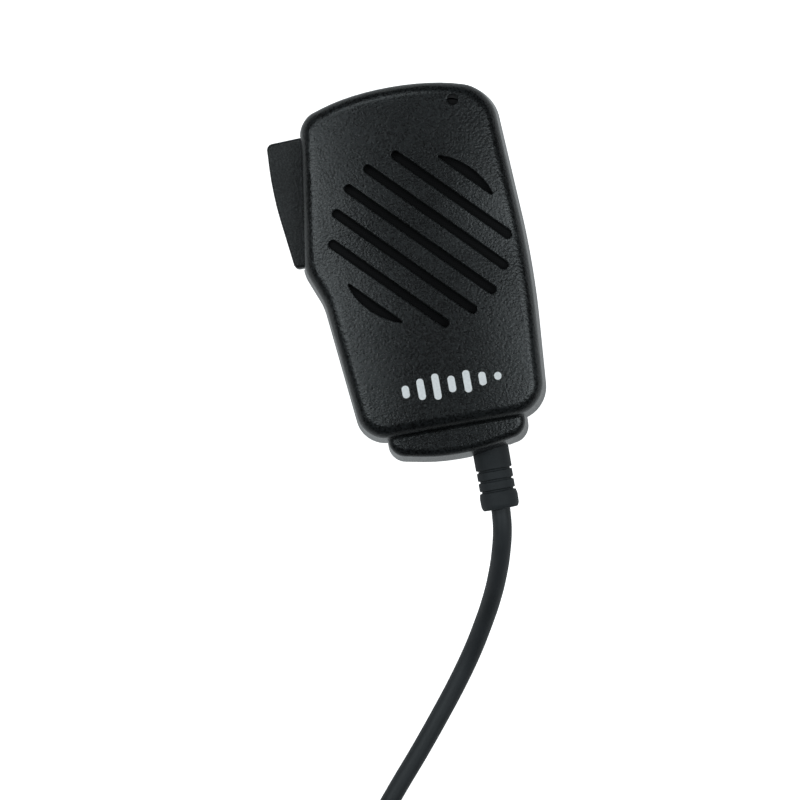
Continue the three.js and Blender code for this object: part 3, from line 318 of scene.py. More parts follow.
def outline_face(name, corners, height):
    """A flat face with rounded corners, its vertices running anticlockwise."""
    nothing_selected()
    bpy.ops.mesh.primitive_circle_add(vertices=len(corners), radius=10 * MM, fill_type="NGON")
    piece = bpy.context.object
    piece.name = name
    places = [Vector((x, y, height)) * MM for x, y, _ in corners]
    for vertex, place in zip(piece.data.vertices, places):
        vertex.co = place
    bpy.ops.object.mode_set(mode="EDIT")
    bpy.ops.mesh.select_mode(type="VERT")
    for k, (_, _, radius) in enumerate(corners):
        before = places[k - 1] - places[k]
        after = places[(k + 1) % len(places)] - places[k]
        opening = before.angle(after)
        turn = math.pi - opening
        steps = max(3, round(math.degrees(turn) / 7), round(turn * radius / 2.5))
        bpy.ops.mesh.select_all(action="DESELECT")
        bpy.ops.object.mode_set(mode="OBJECT")
        near = min(piece.data.vertices, key=lambda v: (v.co - places[k]).length)
        near.select = True
        bpy.ops.object.mode_set(mode="EDIT")
        bpy.ops.mesh.bevel(affect="VERTICES", offset_type="OFFSET", segments=steps, profile=0.5,
                           offset=radius * MM / math.tan(opening / 2))
    bpy.ops.object.mode_set(mode="OBJECT")
    return piece


def prism(name, corners, start, end, fillet=0, draft=(1, 1)):
    """An outline drawn from one height to another, its far edge rounded and its sides drafted."""
    piece = outline_face(name, corners, start)
    bpy.ops.object.mode_set(mode="EDIT")
    bpy.ops.mesh.select_all(action="SELECT")
    bpy.ops.mesh.extrude_region_move(TRANSFORM_OT_translate={"value": (0, 0, (end - start) * MM)})
    bpy.ops.transform.resize(value=(*draft, 1), center_override=DRAFT_CENTRE)
    if fillet:
        bpy.ops.mesh.bevel(affect="EDGES", offset=fillet * MM, segments=6, profile=0.5)
    bpy.ops.mesh.select_all(action="SELECT")
    bpy.ops.mesh.normals_make_consistent(inside=False)
    bpy.ops.object.mode_set(mode="OBJECT")
    return piece


def inset(corners, inward):
    """The same outline with its sides moved inwards."""
    moved = []
    for k, (x, y, radius) in enumerate(corners):
        here = Vector((x, y))
        coming = (here - Vector(corners[k - 1][:2])).normalized()
        going = (Vector(corners[(k + 1) % len(corners)][:2]) - here).normalized()
        across = Vector((-coming.y - going.y, coming.x + going.x)) / (1 + coming.dot(going))
        inner = radius - inward if coming.cross(going) > 0 else radius + inward
        moved.append((*(here + across * inward), max(inner, 0.3)))
    return moved


def rod(radius, start, end, place=(0, 0), sides=40, axis="z"):
    """A round bar along Z or Y, from one distance to another."""
    nothing_selected()
    middle = (start + end) / 2
    centre = (*place, middle) if axis == "z" else (place[0], middle, place[1])
    bpy.ops.mesh.primitive_cylinder_add(
        vertices=sides, radius=radius * MM, depth=abs(end - start) * MM,
        location=Vector(centre) * MM,
        rotation=(0, 0, 0) if axis == "z" else (math.pi / 2, 0, 0),
    )
    return bpy.context.object


def block(low, high):
    """A box between two corners."""
    nothing_selected()
    low, high = Vector(low) * MM, Vector(high) * MM
    bpy.ops.mesh.primitive_cube_add(size=1, location=(low + high) / 2, scale=high - low)
    return bpy.context.object


def combine(piece, operation, *others):
    """Joins pieces to one, or cuts them out of it, and uses them up."""
    for other in others:
        change = piece.modifiers.new("combine", "BOOLEAN")
        change.operation = operation
        change.object = other
        change.solver = "EXACT"
        bpy.context.view_layer.objects.active = piece
        bpy.ops.object.modifier_apply(modifier=change.name)
        bpy.data.objects.remove(other)
    return piece


def select_edges(piece, sharpness, chosen):
    """Edit mode, with the edges sharper than an angle selected whose two ends are chosen."""
    nothing_selected()
    piece.select_set(True)
    bpy.context.view_layer.objects.active = piece
    bpy.ops.object.mode_set(mode="EDIT")
    bpy.ops.mesh.select_mode(type="EDGE")
    bpy.ops.mesh.select_all(action="DESELECT")
    bpy.ops.mesh.edges_select_sharp(sharpness=math.radians(sharpness))
    bpy.ops.object.mode_set(mode="OBJECT")
    vertices = piece.data.vertices
    for polygon in piece.data.polygons:
        polygon.select = False
    for edge in piece.data.edges:
        edge.select = edge.select and all(chosen(*(vertices[k].co / MM)) for k in edge.vertices)
    bpy.ops.object.mode_set(mode="EDIT")


def finish_surface(piece, angle=32):
    """Smooth shading up to an angle, with normals that keep flat faces flat."""
    nothing_selected()
    piece.select_set(True)
    bpy.context.view_layer.objects.active = piece
    bpy.ops.object.mode_set(mode="OBJECT")
    bpy.ops.object.transform_apply(location=True, rotation=True, scale=True)
    bpy.ops.object.shade_smooth_by_angle(angle=math.radians(angle))
    even = piece.modifiers.new("even", "WEIGHTED_NORMAL")
    even.keep_sharp = True
    bpy.ops.object.modifier_apply(modifier=even.name)


def shade(piece, material, body, slot, *nodes):
    """Gives a new piece its material and body, and hides the made shapes that it stands for; slot is
    not used.
    """
    piece.data.materials.clear()
    piece.data.materials.append(material)
    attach(piece, body)
    if nodes:
        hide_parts(*nodes)


def case_finish(name, dark, light, grain_mm, depth_mm, roughness):
    """A black moulding with a spark-eroded grain, whose high spots are the lighter."""
    made = Finish(name, Specular_IOR_Level=0.33)
    cloud = made.noise(14, detail=3)
    pores = made.cells(grain_mm)
    grit = made.noise(grain_mm * 0.7, detail=3, roughness=0.6)
    made.feed("Base Color", made.shades(cloud * 0.25 + grit * 0.75, (0.42, dark), (0.6, light)))
    made.feed("Roughness", roughness + cloud * 0.04 + grit * 0.12)
    made.bump(grit + pores * 0.6, depth_mm, 1.0)
    return made.material


case_black = case_finish(
    "case_black", (0.001, 0.0012, 0.0013), (0.013, 0.0148, 0.0154), 0.6, 0.05, 0.2)

rear = prism("rear_cover_shell", case_corners, REAR_EDGE, CASE_BACK, REAR_FILLET, DRAFT)
combine(rear, "UNION", prism("chin", chin_corners, REAR_EDGE, CASE_BACK, CHIN_REAR_FILLET, DRAFT))
combine(
    rear, "DIFFERENCE",
    prism("hollow", inset(case_corners, WALL), REAR_EDGE + 1, FLOOR, INNER_FILLET, DRAFT),
    prism("chin_hollow", inset(chin_corners, WALL), REAR_EDGE + 1, FLOOR, 0, DRAFT),
)
combine(rear, "UNION", rod(BOSS_RADIUS, BOSS_BACK, CASE_BACK + OVERLAP, sides=64))
combine(
    rear, "UNION",
    *(rod(POST_RADIUS, FLOOR - OVERLAP, REAR_EDGE, post) for post in screw_posts),
)
combine(
    rear, "DIFFERENCE",
    block(*talk_opening),
    rod(**relief_hole),
    rod(SWIVEL_HOLE_RADIUS, *SWIVEL_HOLE),
    *(rod(HEAD_RECESS_RADIUS, *HEAD_RECESS, post) for post in screw_posts),
    *(rod(SCREW_HOLE_RADIUS, *REAR_SCREW_HOLE, post, sides=20) for post in screw_posts),
)
select_edges(rear, 50, lambda x, y, z: z < CASE_BACK + 0.05 and x > -30)
bpy.ops.mesh.bevel(affect="EDGES", offset=MOULD_EDGE * MM, segments=2, profile=0.5)
bpy.ops.object.mode_set(mode="OBJECT")
finish_surface(rear)
shade(rear, case_black, "case", "case_plastic", "rear_cover")

# ----------------------------------------------------------------------------------------------
# Front cover: the same black ABS. Its face is crowned and dips a little at the waist, the chin
# below it stands back a step, and it has five sound slots, two crescents and the microphone's hole.
front_low, front_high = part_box("front_cover")
FRONT_EDGE = front_low.z / MM
CASE_FRONT = front_high.z / MM
FRONT_INSIDE = CASE_FRONT - WALL
CHIN_STEP = 3
CHIN_FRONT = CASE_FRONT - CHIN_STEP
FRONT_FILLET = 2.5
CHIN_FILLET = 1.6
SEAM_FILLET = 0.45
RING_INSIDE = 19.2
RING_OUTSIDE = 20.4
RING_BACK = 29
GRILLE_RADIUS = 18
SLOT_WIDTH = 1.7
SLOT_CORNER = 0.84
SLOT_PITCH = 5.6
SLOT_TURN = -45
CRESCENT_CHORD = 15.95
CRESCENT_HALF = 7.3
CRESCENT_RISE = 3.9
CRESCENT_CURVE = 13.4
THROUGH_FACE = (32, 40)
SOUND_HOLE_RADIUS = 1.1
SOUND_HOLE_SPAN = (30, 40)
FRONT_SCREW_HOLE = (19, 30.5)
sound_hole = (11.5, 27.2)
CROWN_START = 27
CROWN_HEIGHT = 6.5
SIDE_FALL = 1.9
TOP_FALL = 0.9
WAIST_DIP = 0.35
WAIST_Y = -3


def oblong(left, low, right, high, corner):
    return [(x, y, corner) for x, y in ((right, high), (left, high), (left, low), (right, low))]


def turned_corners(corners, degrees):
    angle = math.radians(degrees)
    cos, sin = math.cos(angle), math.sin(angle)
    return [(x * cos - y * sin, x * sin + y * cos, radius) for x, y, radius in corners]


def crown(piece):
    """Lets the front face fall away to its sides and top and dip at the waist.

    The fall begins part of the way up the cover's sides and has all its depth at the face.
    """
    for vertex in piece.data.vertices:
        x, y, z = vertex.co / MM
        share = min(max((z - CROWN_START) / CROWN_HEIGHT, 0), 1)
        across = min(abs(x) / 22, 1.1)
        towards_top = max(y / 32, 0)
        waist = math.exp(-(((y - WAIST_Y) / 8) ** 2))
        fall = SIDE_FALL * across**2.4 + WAIST_DIP * waist + TOP_FALL * towards_top**2.2
        vertex.co.z -= fall * share * share * (3 - 2 * share) * MM


def in_chin_seam(x, y, z):
    return y < -33 and abs(z - CHIN_FRONT) < 1.8 and abs(x - 0.5) < 17


def round_an_opening(x, y, z):
    return z > CASE_FRONT - 0.02 and (math.hypot(x, y) < 19.6 or y > 25)


front = prism("front_cover_shell", case_corners, FRONT_EDGE, CASE_FRONT, FRONT_FILLET, DRAFT)
combine(front, "UNION", prism("chin", chin_corners, FRONT_EDGE, CHIN_FRONT, CHIN_FILLET, DRAFT))
combine(
    front, "DIFFERENCE",
    prism("hollow", inset(case_corners, WALL), FRONT_EDGE - 1, FRONT_INSIDE, 1, DRAFT),
    prism("chin_hollow", inset(chin_corners, WALL), FRONT_EDGE - 1, CHIN_FRONT - WALL, 0, DRAFT),
)
speaker_ring = combine(
    rod(RING_OUTSIDE, RING_BACK, FRONT_INSIDE + OVERLAP, sides=96), "DIFFERENCE",
    rod(RING_INSIDE, RING_BACK - 1, 40, sides=96),
)
combine(
    front, "UNION", speaker_ring,
    *(rod(POST_RADIUS, FRONT_EDGE, FRONT_INSIDE + OVERLAP, post) for post in screw_posts),
)
combine(
    front, "DIFFERENCE",
    block(*talk_opening),
    rod(**relief_hole),
    rod(SOUND_HOLE_RADIUS, *SOUND_HOLE_SPAN, sound_hole),
    *(rod(SCREW_HOLE_RADIUS, *FRONT_SCREW_HOLE, post, sides=20) for post in screw_posts),
)
for k in range(-2, 3):
    across = k * SLOT_PITCH
    half = math.sqrt(GRILLE_RADIUS**2 - across**2) + SLOT_WIDTH / 2
    slot = oblong(-half, across - SLOT_WIDTH / 2, half, across + SLOT_WIDTH / 2, SLOT_CORNER)
    combine(front, "DIFFERENCE", prism("slot", turned_corners(slot, SLOT_TURN), *THROUGH_FACE))
for turn in (SLOT_TURN, SLOT_TURN + 180):
    crescent = [
        (-CRESCENT_HALF, CRESCENT_CHORD, 0.25), (CRESCENT_HALF, CRESCENT_CHORD, 0.25),
        (0, CRESCENT_CHORD + CRESCENT_RISE, CRESCENT_CURVE),
    ]
    combine(front, "DIFFERENCE", prism("crescent", turned_corners(crescent, turn), *THROUGH_FACE))

select_edges(front, 55, round_an_opening)
bpy.ops.mesh.bevel(affect="EDGES", offset=MOULD_EDGE * MM, segments=3, profile=0.5)
bpy.ops.object.mode_set(mode="OBJECT")
select_edges(front, 25, in_chin_seam)
bpy.ops.mesh.bevel(affect="EDGES", offset=SEAM_FILLET * MM, segments=4, profile=0.5)

# The face is cut into a grid, so that it can bend to its crown.
bpy.ops.mesh.select_mode(type="VERT")
for x in range(-22, 23, 2):
    bpy.ops.mesh.select_all(action="SELECT")
    bpy.ops.mesh.bisect(plane_co=(x * MM, 0, 0), plane_no=(1, 0, 0))
for y in range(-38, 33, 3):
    bpy.ops.mesh.select_all(action="SELECT")
    bpy.ops.mesh.bisect(plane_co=(0, y * MM, 0), plane_no=(0, 1, 0))
bpy.ops.object.mode_set(mode="OBJECT")
crown(front)
finish_surface(front)
shade(front, case_black, "case", "case_plastic", "front_cover")

# ----------------------------------------------------------------------------------------------
# Printed mark: a generic row of rounded bars of unequal height, like a sound level. It is white
# ink laid on the crowned face below the grille, so it has hardly any thickness.
bar_heights = (2.6, 4.4, 5.4, 3.4, 4.6, 2.8, 1.6)
MARK_LEFT = -8.4
MARK_Y = -30.4
MARK_PITCH = 3.2
MARK_HALF_WIDTH = 0.75
MARK_CORNER = 0.7
INK_DEPTH = 0.05
INK_HEIGHT = 0.04
mark_ink = Finish("mark_ink", Specular_IOR_Level=0.3)
wear = mark_ink.noise(0.5, detail=3)
mark_ink.feed("Base Color", mark_ink.shades(wear, (0.3, 0.8), (0.6, 0.9)))
mark_ink.feed("Roughness", 0.5 + wear * 0.2)
mark = None
for k, tall in enumerate(bar_heights):
    middle = MARK_LEFT + k * MARK_PITCH
    outline = oblong(middle - MARK_HALF_WIDTH, MARK_Y - tall / 2,
                     middle + MARK_HALF_WIDTH, MARK_Y + tall / 2, MARK_CORNER)
    ink = prism("printed_mark", outline, CASE_FRONT - INK_DEPTH, CASE_FRONT + INK_HEIGHT)
    mark = combine(mark, "UNION", ink) if mark else ink
crown(mark)
finish_surface(mark)
shade(mark, mark_ink.material, "case", "nylon")

# ----------------------------------------------------------------------------------------------
# Loudspeaker: a pressed steel basket and magnet with a paper cone. It stands in the ring inside the
# front cover, with cloth and a foam gasket in front of it and a foam pad behind its magnet.
def metal(name, dark, light, roughness, scratch_mm):
    """A plated or turned metal with fine streaks."""
    made = Finish(name, Metallic=1.0)
    streaks = made.noise(scratch_mm, detail=4, roughness=0.65)
    tarnish = made.noise(3, detail=2)
    made.feed("Base Color", made.shades(tarnish + streaks * 0.3, (0.4, dark), (0.85, light)))
    made.feed("Roughness", roughness + streaks * 0.15)
    made.bump(streaks, 0.01, 0.4)
    return made.material


def cloth_finish(name, dark, light, pitch_mm, depth_mm):
    """A plain weave, from two crossed waves."""
    made = Finish(name, Roughness=0.9, Specular_IOR_Level=0.2)
    waves = [
        made.node("ShaderNodeTexWave", {"bands_direction": side}, Vector=made.place,
                  Scale=314 / pitch_mm, Distortion=0.4, out=1)
        for side in ("X", "Y")
    ]
    weave = waves[0] * waves[1]
    made.feed("Base Color", made.shades(weave, (0.1, dark), (0.8, light)))
    made.bump(weave, depth_mm, 0.7)
    return made.material


def plain_finish(name, dark, light, cloud_mm, roughness, grain_mm=0.4, depth_mm=0.03):
    """A plain moulding, paint or paper with faint clouds and a fine grain."""
    made = Finish(name, Specular_IOR_Level=0.4)
    cloud = made.noise(cloud_mm, detail=3)
    grain = made.noise(grain_mm, detail=2)
    made.feed("Base Color", made.shades(cloud, (0.3, dark), (0.7, light)))
    made.feed("Roughness", roughness + grain * 0.12)
    made.bump(grain, depth_mm, 0.5)
    return made.material


def dress(material, *nodes):
    """Gives pieces whose made shape is already right the finish of what they are made of."""
    for node in nodes:
        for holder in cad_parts[node].material_slots:
            holder.material = material


steel = metal("bright_steel", (0.38, 0.38, 0.39), (0.6, 0.6, 0.61), 0.25, 0.25)
cone_paper = plain_finish(
    "cone_paper", (0.03, 0.03, 0.03), (0.06, 0.06, 0.058), 1.5, 0.85, 0.3, 0.08)
foam = plain_finish("foam", (0.02, 0.02, 0.021), (0.05, 0.05, 0.052), 0.6, 0.9, 0.5, 0.3)
terminal_strip = plain_finish("terminal_strip", (0.3, 0.16, 0.07), (0.4, 0.22, 0.1), 2, 0.5)
grille_weave = cloth_finish(
    "grille_weave", (0.002, 0.002, 0.0022), (0.009, 0.0092, 0.0096), 0.35, 0.08)
dress(steel, "speaker_basket", "speaker_magnet")
dress(cone_paper, "speaker_cone")
dress(foam, "magnet_foam_pad", "speaker_gasket")
dress(terminal_strip, "speaker_terminals")
dress(grille_weave, "grille_cloth")

# ----------------------------------------------------------------------------------------------
# Microphone: an electret capsule in a nickel can whose end, towards the sound hole, is covered with
# black felt. It is pushed into a rubber boot behind the hole in the front cover.
FELT_SKIN = 0.1 * MM
capsule_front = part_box("microphone_capsule")[1].z
can = Finish("capsule_can", Specular_IOR_Level=0.3)
height = can.node("ShaderNodeSeparateXYZ", {}, can.place, out=2)
felt = can.node(
    "ShaderNodeMath", {"operation": "GREATER_THAN"}, height, capsule_front - FELT_SKIN)
fibre = can.noise(0.15, detail=3)
can.feed("Base Color", can.shades(felt, (0.0, (0.6, 0.58, 0.54)), (1.0, (0.008, 0.008, 0.008))))
can.feed("Metallic", 1 - felt)
can.feed("Roughness", 0.25 + felt * 0.6)
can.bump(fibre * felt, 0.05, 0.8)
boot_rubber = plain_finish("boot_rubber", (0.012, 0.012, 0.012), (0.025, 0.025, 0.026), 2, 0.65)
dress(can.material, "microphone_capsule")
dress(boot_rubber, "microphone_boot")

# ----------------------------------------------------------------------------------------------
# Circuit board: green glass-epoxy with the talk switch, an amplifier chip, two capacitors and the
# header for the cord's cores. Two steel screws hold it to posts of the rear cover.
board_green = plain_finish("board_green", (0.01, 0.07, 0.03), (0.02, 0.11, 0.05), 4, 0.35)
dark_moulding = plain_finish("dark_moulding", (0.01, 0.01, 0.01), (0.02, 0.02, 0.021), 3, 0.45)
capacitor_sleeve = plain_finish(
    "capacitor_sleeve", (0.012, 0.014, 0.03), (0.02, 0.022, 0.045), 3, 0.4)
nylon = plain_finish("nylon", (0.62, 0.6, 0.55), (0.75, 0.73, 0.68), 3, 0.45)
dress(board_green, "circuit_board")
dress(dark_moulding, "talk_switch", "amplifier_chip")
dress(capacitor_sleeve, "large_capacitor", "small_capacitor")
dress(nylon, "talk_switch_plunger", "cord_header")
dress(steel, "board_screw_1", "board_screw_2")

# ----------------------------------------------------------------------------------------------
# Wires: thin PVC-covered leads to the loudspeaker and the microphone, and the cord's own four
# cores, which leave its jacket inside the case. A nylon tie keeps the jacket from pulling out.
red_lead = plain_finish("red_lead", (0.35, 0.01, 0.01), (0.5, 0.02, 0.015), 2, 0.4)
black_lead = plain_finish("black_lead", (0.008, 0.008, 0.008), (0.02, 0.02, 0.02), 2, 0.4)
white_lead = plain_finish("white_lead", (0.6, 0.6, 0.58), (0.75, 0.75, 0.73), 2, 0.4)
yellow_lead = plain_finish("yellow_lead", (0.6, 0.42, 0.02), (0.75, 0.55, 0.04), 2, 0.4)
dress(red_lead, "speaker_lead_red", "microphone_lead_red", "cord_core_red")
dress(black_lead, "speaker_lead_black", "microphone_lead_black", "cord_core_black")
dress(white_lead, "cord_core_white")
dress(yellow_lead, "cord_core_yellow")
dress(jacket.material, "cord_inner_end")
dress(nylon, "cord_tie")

# ----------------------------------------------------------------------------------------------
# Case screws: four black self-tapping steel screws. Their heads lie in the rear cover's recesses,
# and they are driven into the front cover's posts, which closes the case.
dark_steel = metal("black_steel", (0.03, 0.03, 0.032), (0.07, 0.07, 0.075), 0.35, 0.2)
dress(dark_steel, "case_screw_1", "case_screw_2", "case_screw_3", "case_screw_4")

# ----------------------------------------------------------------------------------------------
# Talk bar: a hollow moulded bar with a flat, coarser-grained face. It turns on a steel pin at its
# lower end; a lip keeps it in the case, and a finger inside it presses the switch.
bar_low, bar_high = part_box("talk_bar")
pin_low, pin_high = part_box("talk_bar_pin")
plunger_low, plunger_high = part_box("talk_switch_plunger")
pivot = ((pin_low.x + pin_high.x) / 2 / MM, (pin_low.y + pin_high.y) / 2 / MM)
BAR_Z = (15, 27)
BAR_FILLET = 0.7
BAR_WALL = 1.6
PIN_LUG_RADIUS = 2.2
PIN_HOLE_RADIUS = 1.3
BEARING_RADIUS = 3.1  # room at the bar's two ends for the covers' bearings
FINGER_HALF = 0.9
FINGER_HALF_HEIGHT = 2
bar_outline = [
    (-17.95, 25.3, 0.9), (-27.95, 24.95, 1.3), (-28.45, 14.6, 60), (-26.5, -1.4, 1.1),
    (-20.9, -1.25, 0.9),
]
lip_outline = [(-18.85, 24, 0.3), (-22.0, 1.5, 0.3), (-20.8, 1.5, 0.3), (-17.65, 24, 0.3)]
pocket_outline = [(-16, 22.6, 0.5), (-25.7, 22.6, 0.9), (-24.3, 4.8, 0.9), (-18.5, 4.8, 0.5)]


def solid_prism(name, corners, span, fillet):
    """A prism rounded along both of its faces."""
    piece = prism(name, corners, span[0], span[1], fillet)
    select_edges(piece, 50, lambda x, y, z: z < span[0] + 0.01)
    bpy.ops.mesh.bevel(affect="EDGES", offset=fillet * MM, segments=4, profile=0.5)
    bpy.ops.object.mode_set(mode="OBJECT")
    return piece


bar = solid_prism("talk_bar_moulding", bar_outline, BAR_Z, BAR_FILLET)
combine(bar, "UNION", prism("lip", lip_outline, bar_low.z / MM, bar_high.z / MM))
combine(
    bar, "DIFFERENCE",
    prism("pocket", pocket_outline, BAR_Z[0] + BAR_WALL, BAR_Z[1] - BAR_WALL),
)
finger_z = (plunger_low.z + plunger_high.z) / 2 / MM
finger_y = (plunger_low.y + plunger_high.y) / 2 / MM
finger = block(
    (-27.5, finger_y - FINGER_HALF, finger_z - FINGER_HALF_HEIGHT),
    (plunger_low.x / MM - 0.3, finger_y + FINGER_HALF, finger_z + FINGER_HALF_HEIGHT),
)
combine(bar, "UNION", finger, rod(PIN_LUG_RADIUS, *BAR_Z, pivot))
combine(
    bar, "DIFFERENCE",
    rod(PIN_HOLE_RADIUS, 10, 32, pivot),
    rod(BEARING_RADIUS, 12, 14.6, pivot),
    rod(BEARING_RADIUS, 27.4, 30, pivot),
)
finish_surface(bar)
bar_black = case_finish(
    "bar_black", (0.001, 0.0012, 0.0013), (0.022, 0.024, 0.0245), 0.5, 0.08, 0.34)
shade(bar, bar_black, "talk_bar_body", "bar_plastic", "talk_bar")
dress(steel, "talk_bar_pin")

# ----------------------------------------------------------------------------------------------
# Strain reliefs: moulded from soft PVC straight on to the cord's jacket. The one at the microphone
# has a collar, two rings between deep grooves and a bulging end; the plug's is a ribbed cone.
def turned(name, profile, origin):
    """A solid turned about a line along Y from pairs of radius and distance, in millimetres."""
    nothing_selected()
    bpy.ops.mesh.primitive_circle_add(vertices=len(profile), radius=10 * MM, fill_type="NOTHING")
    piece = bpy.context.object
    piece.name = name
    for vertex, (radius, along) in zip(piece.data.vertices, profile):
        vertex.co = Vector(origin) + Vector((radius, along, 0)) * MM
    bpy.ops.object.mode_set(mode="EDIT")
    bpy.ops.mesh.select_all(action="SELECT")
    bpy.ops.mesh.spin(steps=56, angle=2 * math.pi, center=origin, axis=(0, 1, 0),
                      use_auto_merge=True)
    bpy.ops.mesh.select_all(action="SELECT")
    bpy.ops.mesh.remove_doubles(threshold=0.002 * MM)
    bpy.ops.mesh.normals_make_consistent(inside=False)
    bpy.ops.object.mode_set(mode="OBJECT")
    return piece


def rounded(profile, size, steps=3):
    """The profile with each of its corners rounded, up to a third of its shorter side."""
    points = []
    for k, corner in enumerate(profile):
        here = Vector(corner)
        before = Vector(profile[k - 1]) - here
        after = Vector(profile[(k + 1) % len(profile)]) - here
        reach = min(size, before.length / 3, after.length / 3)
        start, end = here + before.normalized() * reach, here + after.normalized() * reach
        for step in range(steps + 1):
            t = step / steps
            points.append(start.lerp(here, t).lerp(here.lerp(end, t), t))
    return points


relief_length = (relief_high.y - relief_low.y) / MM
BORE = 2.05
GROOVE = 3.3
RING = 3.72
FLANGE = 4.8
FLANGE_THICKNESS = 1.6
relief_profile = [
    (BORE, 0), (3.6, 0), (3.95, 0.8), (4.0, 2.6), (3.8, 3.65),
    (GROOVE, 3.75), (GROOVE, 4.05), (RING, 4.15), (RING, 5.8),
    (GROOVE, 5.9), (GROOVE, 6.2), (RING, 6.3), (RING, 7.95),
    (GROOVE, 8.05), (GROOVE, 8.35), (3.78, 8.45), (3.8, relief_length - FLANGE_THICKNESS),
    (FLANGE, relief_length - FLANGE_THICKNESS), (FLANGE, relief_length), (BORE, relief_length),
]
rubber = Finish("relief_rubber", Specular_IOR_Level=0.35)
bloom = rubber.noise(5, detail=3)
specks = rubber.noise(0.3, detail=2)
rubber.feed("Base Color", rubber.shades(
    bloom, (0.3, (0.015, 0.0175, 0.0195)), (0.7, (0.022, 0.0255, 0.028))))
rubber.feed("Roughness", 0.6 + bloom * 0.15)
rubber.bump(specks, 0.05, 0.5)
relief = turned("strain_relief", rounded(relief_profile, 0.25), (CORD_X, relief_low.y, CORD_Z))
finish_surface(relief, 50)
shade(relief, rubber.material, "case", "cord_rubber", "cord_strain_relief")

plug_relief_length = (plug_relief_high.y - plug_relief_low.y) / MM
RIBS = 4
RIB_PITCH = 2.5
CONE_TIP = 2.9
CONE_TAPER = 0.118
ribs = []
for k in range(RIBS):
    at = 0.6 + k * RIB_PITCH
    wide = CONE_TIP + at * CONE_TAPER
    ribs += [(wide, at), (wide + 0.2, at + 1.5), (wide - 0.35, at + 1.6), (wide - 0.3, at + 2.2)]
cone_profile = [(BORE, 0), (2.7, 0), *ribs, (4.2, plug_relief_length), (BORE, plug_relief_length)]
plug_relief = turned(
    "plug_relief", rounded(cone_profile, 0.2), (PLUG_X, plug_relief_low.y, PLUG_Z))
finish_surface(plug_relief, 50)
shade(plug_relief, rubber.material, "case", "cord_rubber", "plug_strain_relief")

# ----------------------------------------------------------------------------------------------
# Swivel clip: a base plate screwed to the rear cover's boss, and a jaw hinged to it on a steel pin
# and held shut by a torsion spring. Both are moulded in a tough satin nylon.
def softened(node, name, width):
    """A copy of the made shape as a moulding: its facets merged and its edges rounded."""
    nothing_selected()
    piece = bpy.data.objects.new(name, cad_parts[node].data.copy())
    bpy.context.collection.objects.link(piece)
    piece.select_set(True)
    bpy.context.view_layer.objects.active = piece
    bpy.ops.object.mode_set(mode="EDIT")
    bpy.ops.mesh.select_all(action="SELECT")
    bpy.ops.mesh.remove_doubles(threshold=0.002 * MM)
    bpy.ops.mesh.dissolve_limited(angle_limit=math.radians(2))
    bpy.ops.object.mode_set(mode="OBJECT")
    edges = piece.modifiers.new("edges", "BEVEL")
    edges.width = width * MM
    edges.segments = 3
    edges.limit_method = "ANGLE"
    edges.angle_limit = math.radians(40)
    bpy.ops.object.modifier_apply(modifier=edges.name)
    finish_surface(piece, 40)
    return piece


CLIP_EDGE = 0.35
clip_nylon = case_finish(
    "clip_nylon", (0.009, 0.009, 0.0095), (0.015, 0.015, 0.016), 0.5, 0.04, 0.46)
clip_base = softened("clip_base", "clip_base_plate", CLIP_EDGE)
shade(clip_base, clip_nylon, "clip_swivel_body", "clip_plastic", "clip_base")
clip_jaw = softened("clip_jaw", "clip_jaw_plate", CLIP_EDGE)
shade(clip_jaw, clip_nylon, "clip_jaw_body", "clip_plastic", "clip_jaw")

brass = metal("turned_brass", (0.5, 0.33, 0.12), (0.72, 0.52, 0.22), 0.28, 0.15)
dress(steel, "clip_pin", "clip_swivel_screw", "clip_washer")
dress(brass, "swivel_insert")

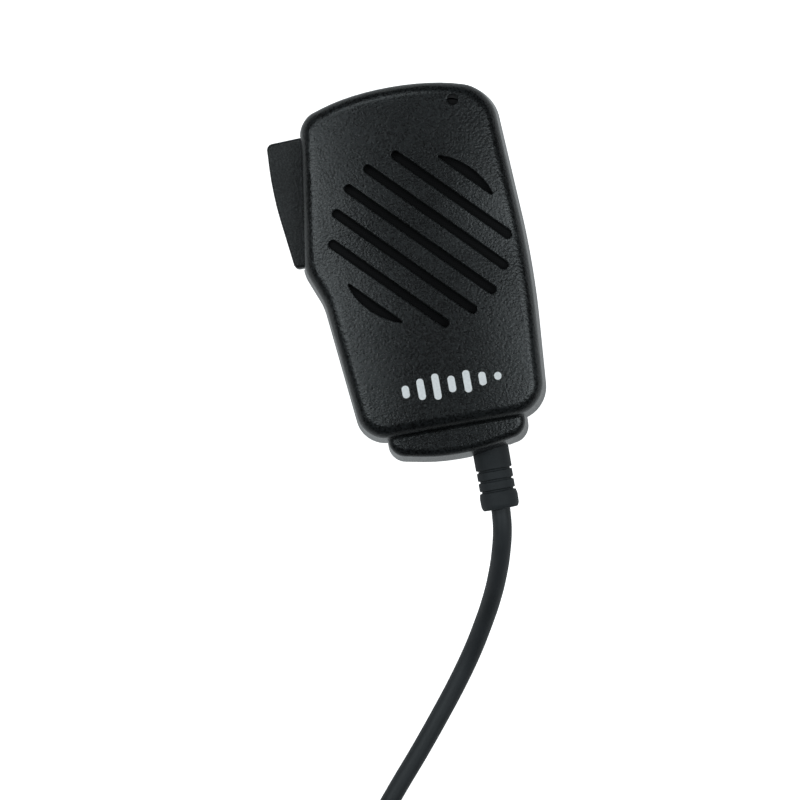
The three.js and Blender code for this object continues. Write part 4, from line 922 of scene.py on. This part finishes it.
# ----------------------------------------------------------------------------------------------
# Torsion spring: steel wire wound in six turns about the clip's hinge pin, with one leg on the base
# plate and one on the jaw.
spring_low, spring_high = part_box("clip_spring")
clip_hinge = Vector((0, 7.5, 4.6)) * MM
WIRE_RADIUS = 0.4
SPRING_TURNS = 6
SPRING_RADIUS = 1.6
POINTS_A_LOOP = 20
LEG_REACH = -7.2
LEG_SPREAD = 1.4
spring_half = (spring_high.x - spring_low.x) / 2 / MM - WIRE_RADIUS
spring_line = bpy.data.curves.new("clip_spring_line", "CURVE")
spring_line.dimensions = "3D"
spring_line.bevel_depth = WIRE_RADIUS * MM
spring_line.bevel_resolution = 3
spring_line.use_fill_caps = True
wound = spring_line.splines.new("POLY")
steps = SPRING_TURNS * POINTS_A_LOOP
spring_points = [clip_hinge + Vector((-spring_half, LEG_REACH, LEG_SPREAD)) * MM]
for k in range(steps + 1):
    angle = math.radians(90 + 360 * (SPRING_TURNS + 0.5) * k / steps)
    along = -spring_half + 2 * spring_half * k / steps
    loop = Vector((along, SPRING_RADIUS * math.cos(angle), SPRING_RADIUS * math.sin(angle)))
    spring_points.append(clip_hinge + loop * MM)
spring_points.append(clip_hinge + Vector((spring_half, LEG_REACH, -LEG_SPREAD)) * MM)
wound.points.add(len(spring_points) - 1)
for point, place in zip(wound.points, spring_points):
    point.co = (*place, 1)
spring_line.materials.append(steel)
nothing_selected()
spring = bpy.data.objects.new("clip_torsion_spring", spring_line)
bpy.context.collection.objects.link(spring)
spring.select_set(True)
bpy.context.view_layer.objects.active = spring
bpy.ops.object.convert(target="MESH")
spring = bpy.context.object
bpy.ops.object.shade_smooth_by_angle(angle=math.radians(50))
shade(spring, steel, "clip_swivel_body", "steel", "clip_spring")

# ----------------------------------------------------------------------------------------------
# Coil strap: a band of woven hook-and-loop tape, wrapped round both layers of the coiled cord at
# the top of the ring. It keeps the spare cord together.
strap_cloth = cloth_finish("strap_weave", (0.008, 0.008, 0.009), (0.02, 0.02, 0.022), 0.7, 0.12)
strap = softened("coil_strap", "coil_strap_band", 0.35)
shade(strap, strap_cloth, "case", "cord_rubber", "coil_strap")

# ----------------------------------------------------------------------------------------------
# Plug: a moulded block with two stepped pins, turned and nickel-plated. Each pin has a tip, a black
# insulating band and a sleeve.
plug_body = softened("plug_housing", "plug_moulding", 0.5)
shade(plug_body, case_black, "case", "dark_plastic", "plug_housing")
nickel = metal("nickel_plate", (0.5, 0.48, 0.45), (0.72, 0.7, 0.66), 0.18, 0.2)
dress(nickel, "plug_small_sleeve", "plug_small_tip", "plug_large_sleeve", "plug_large_tip")
dress(dark_moulding, "plug_small_insulator", "plug_large_insulator")
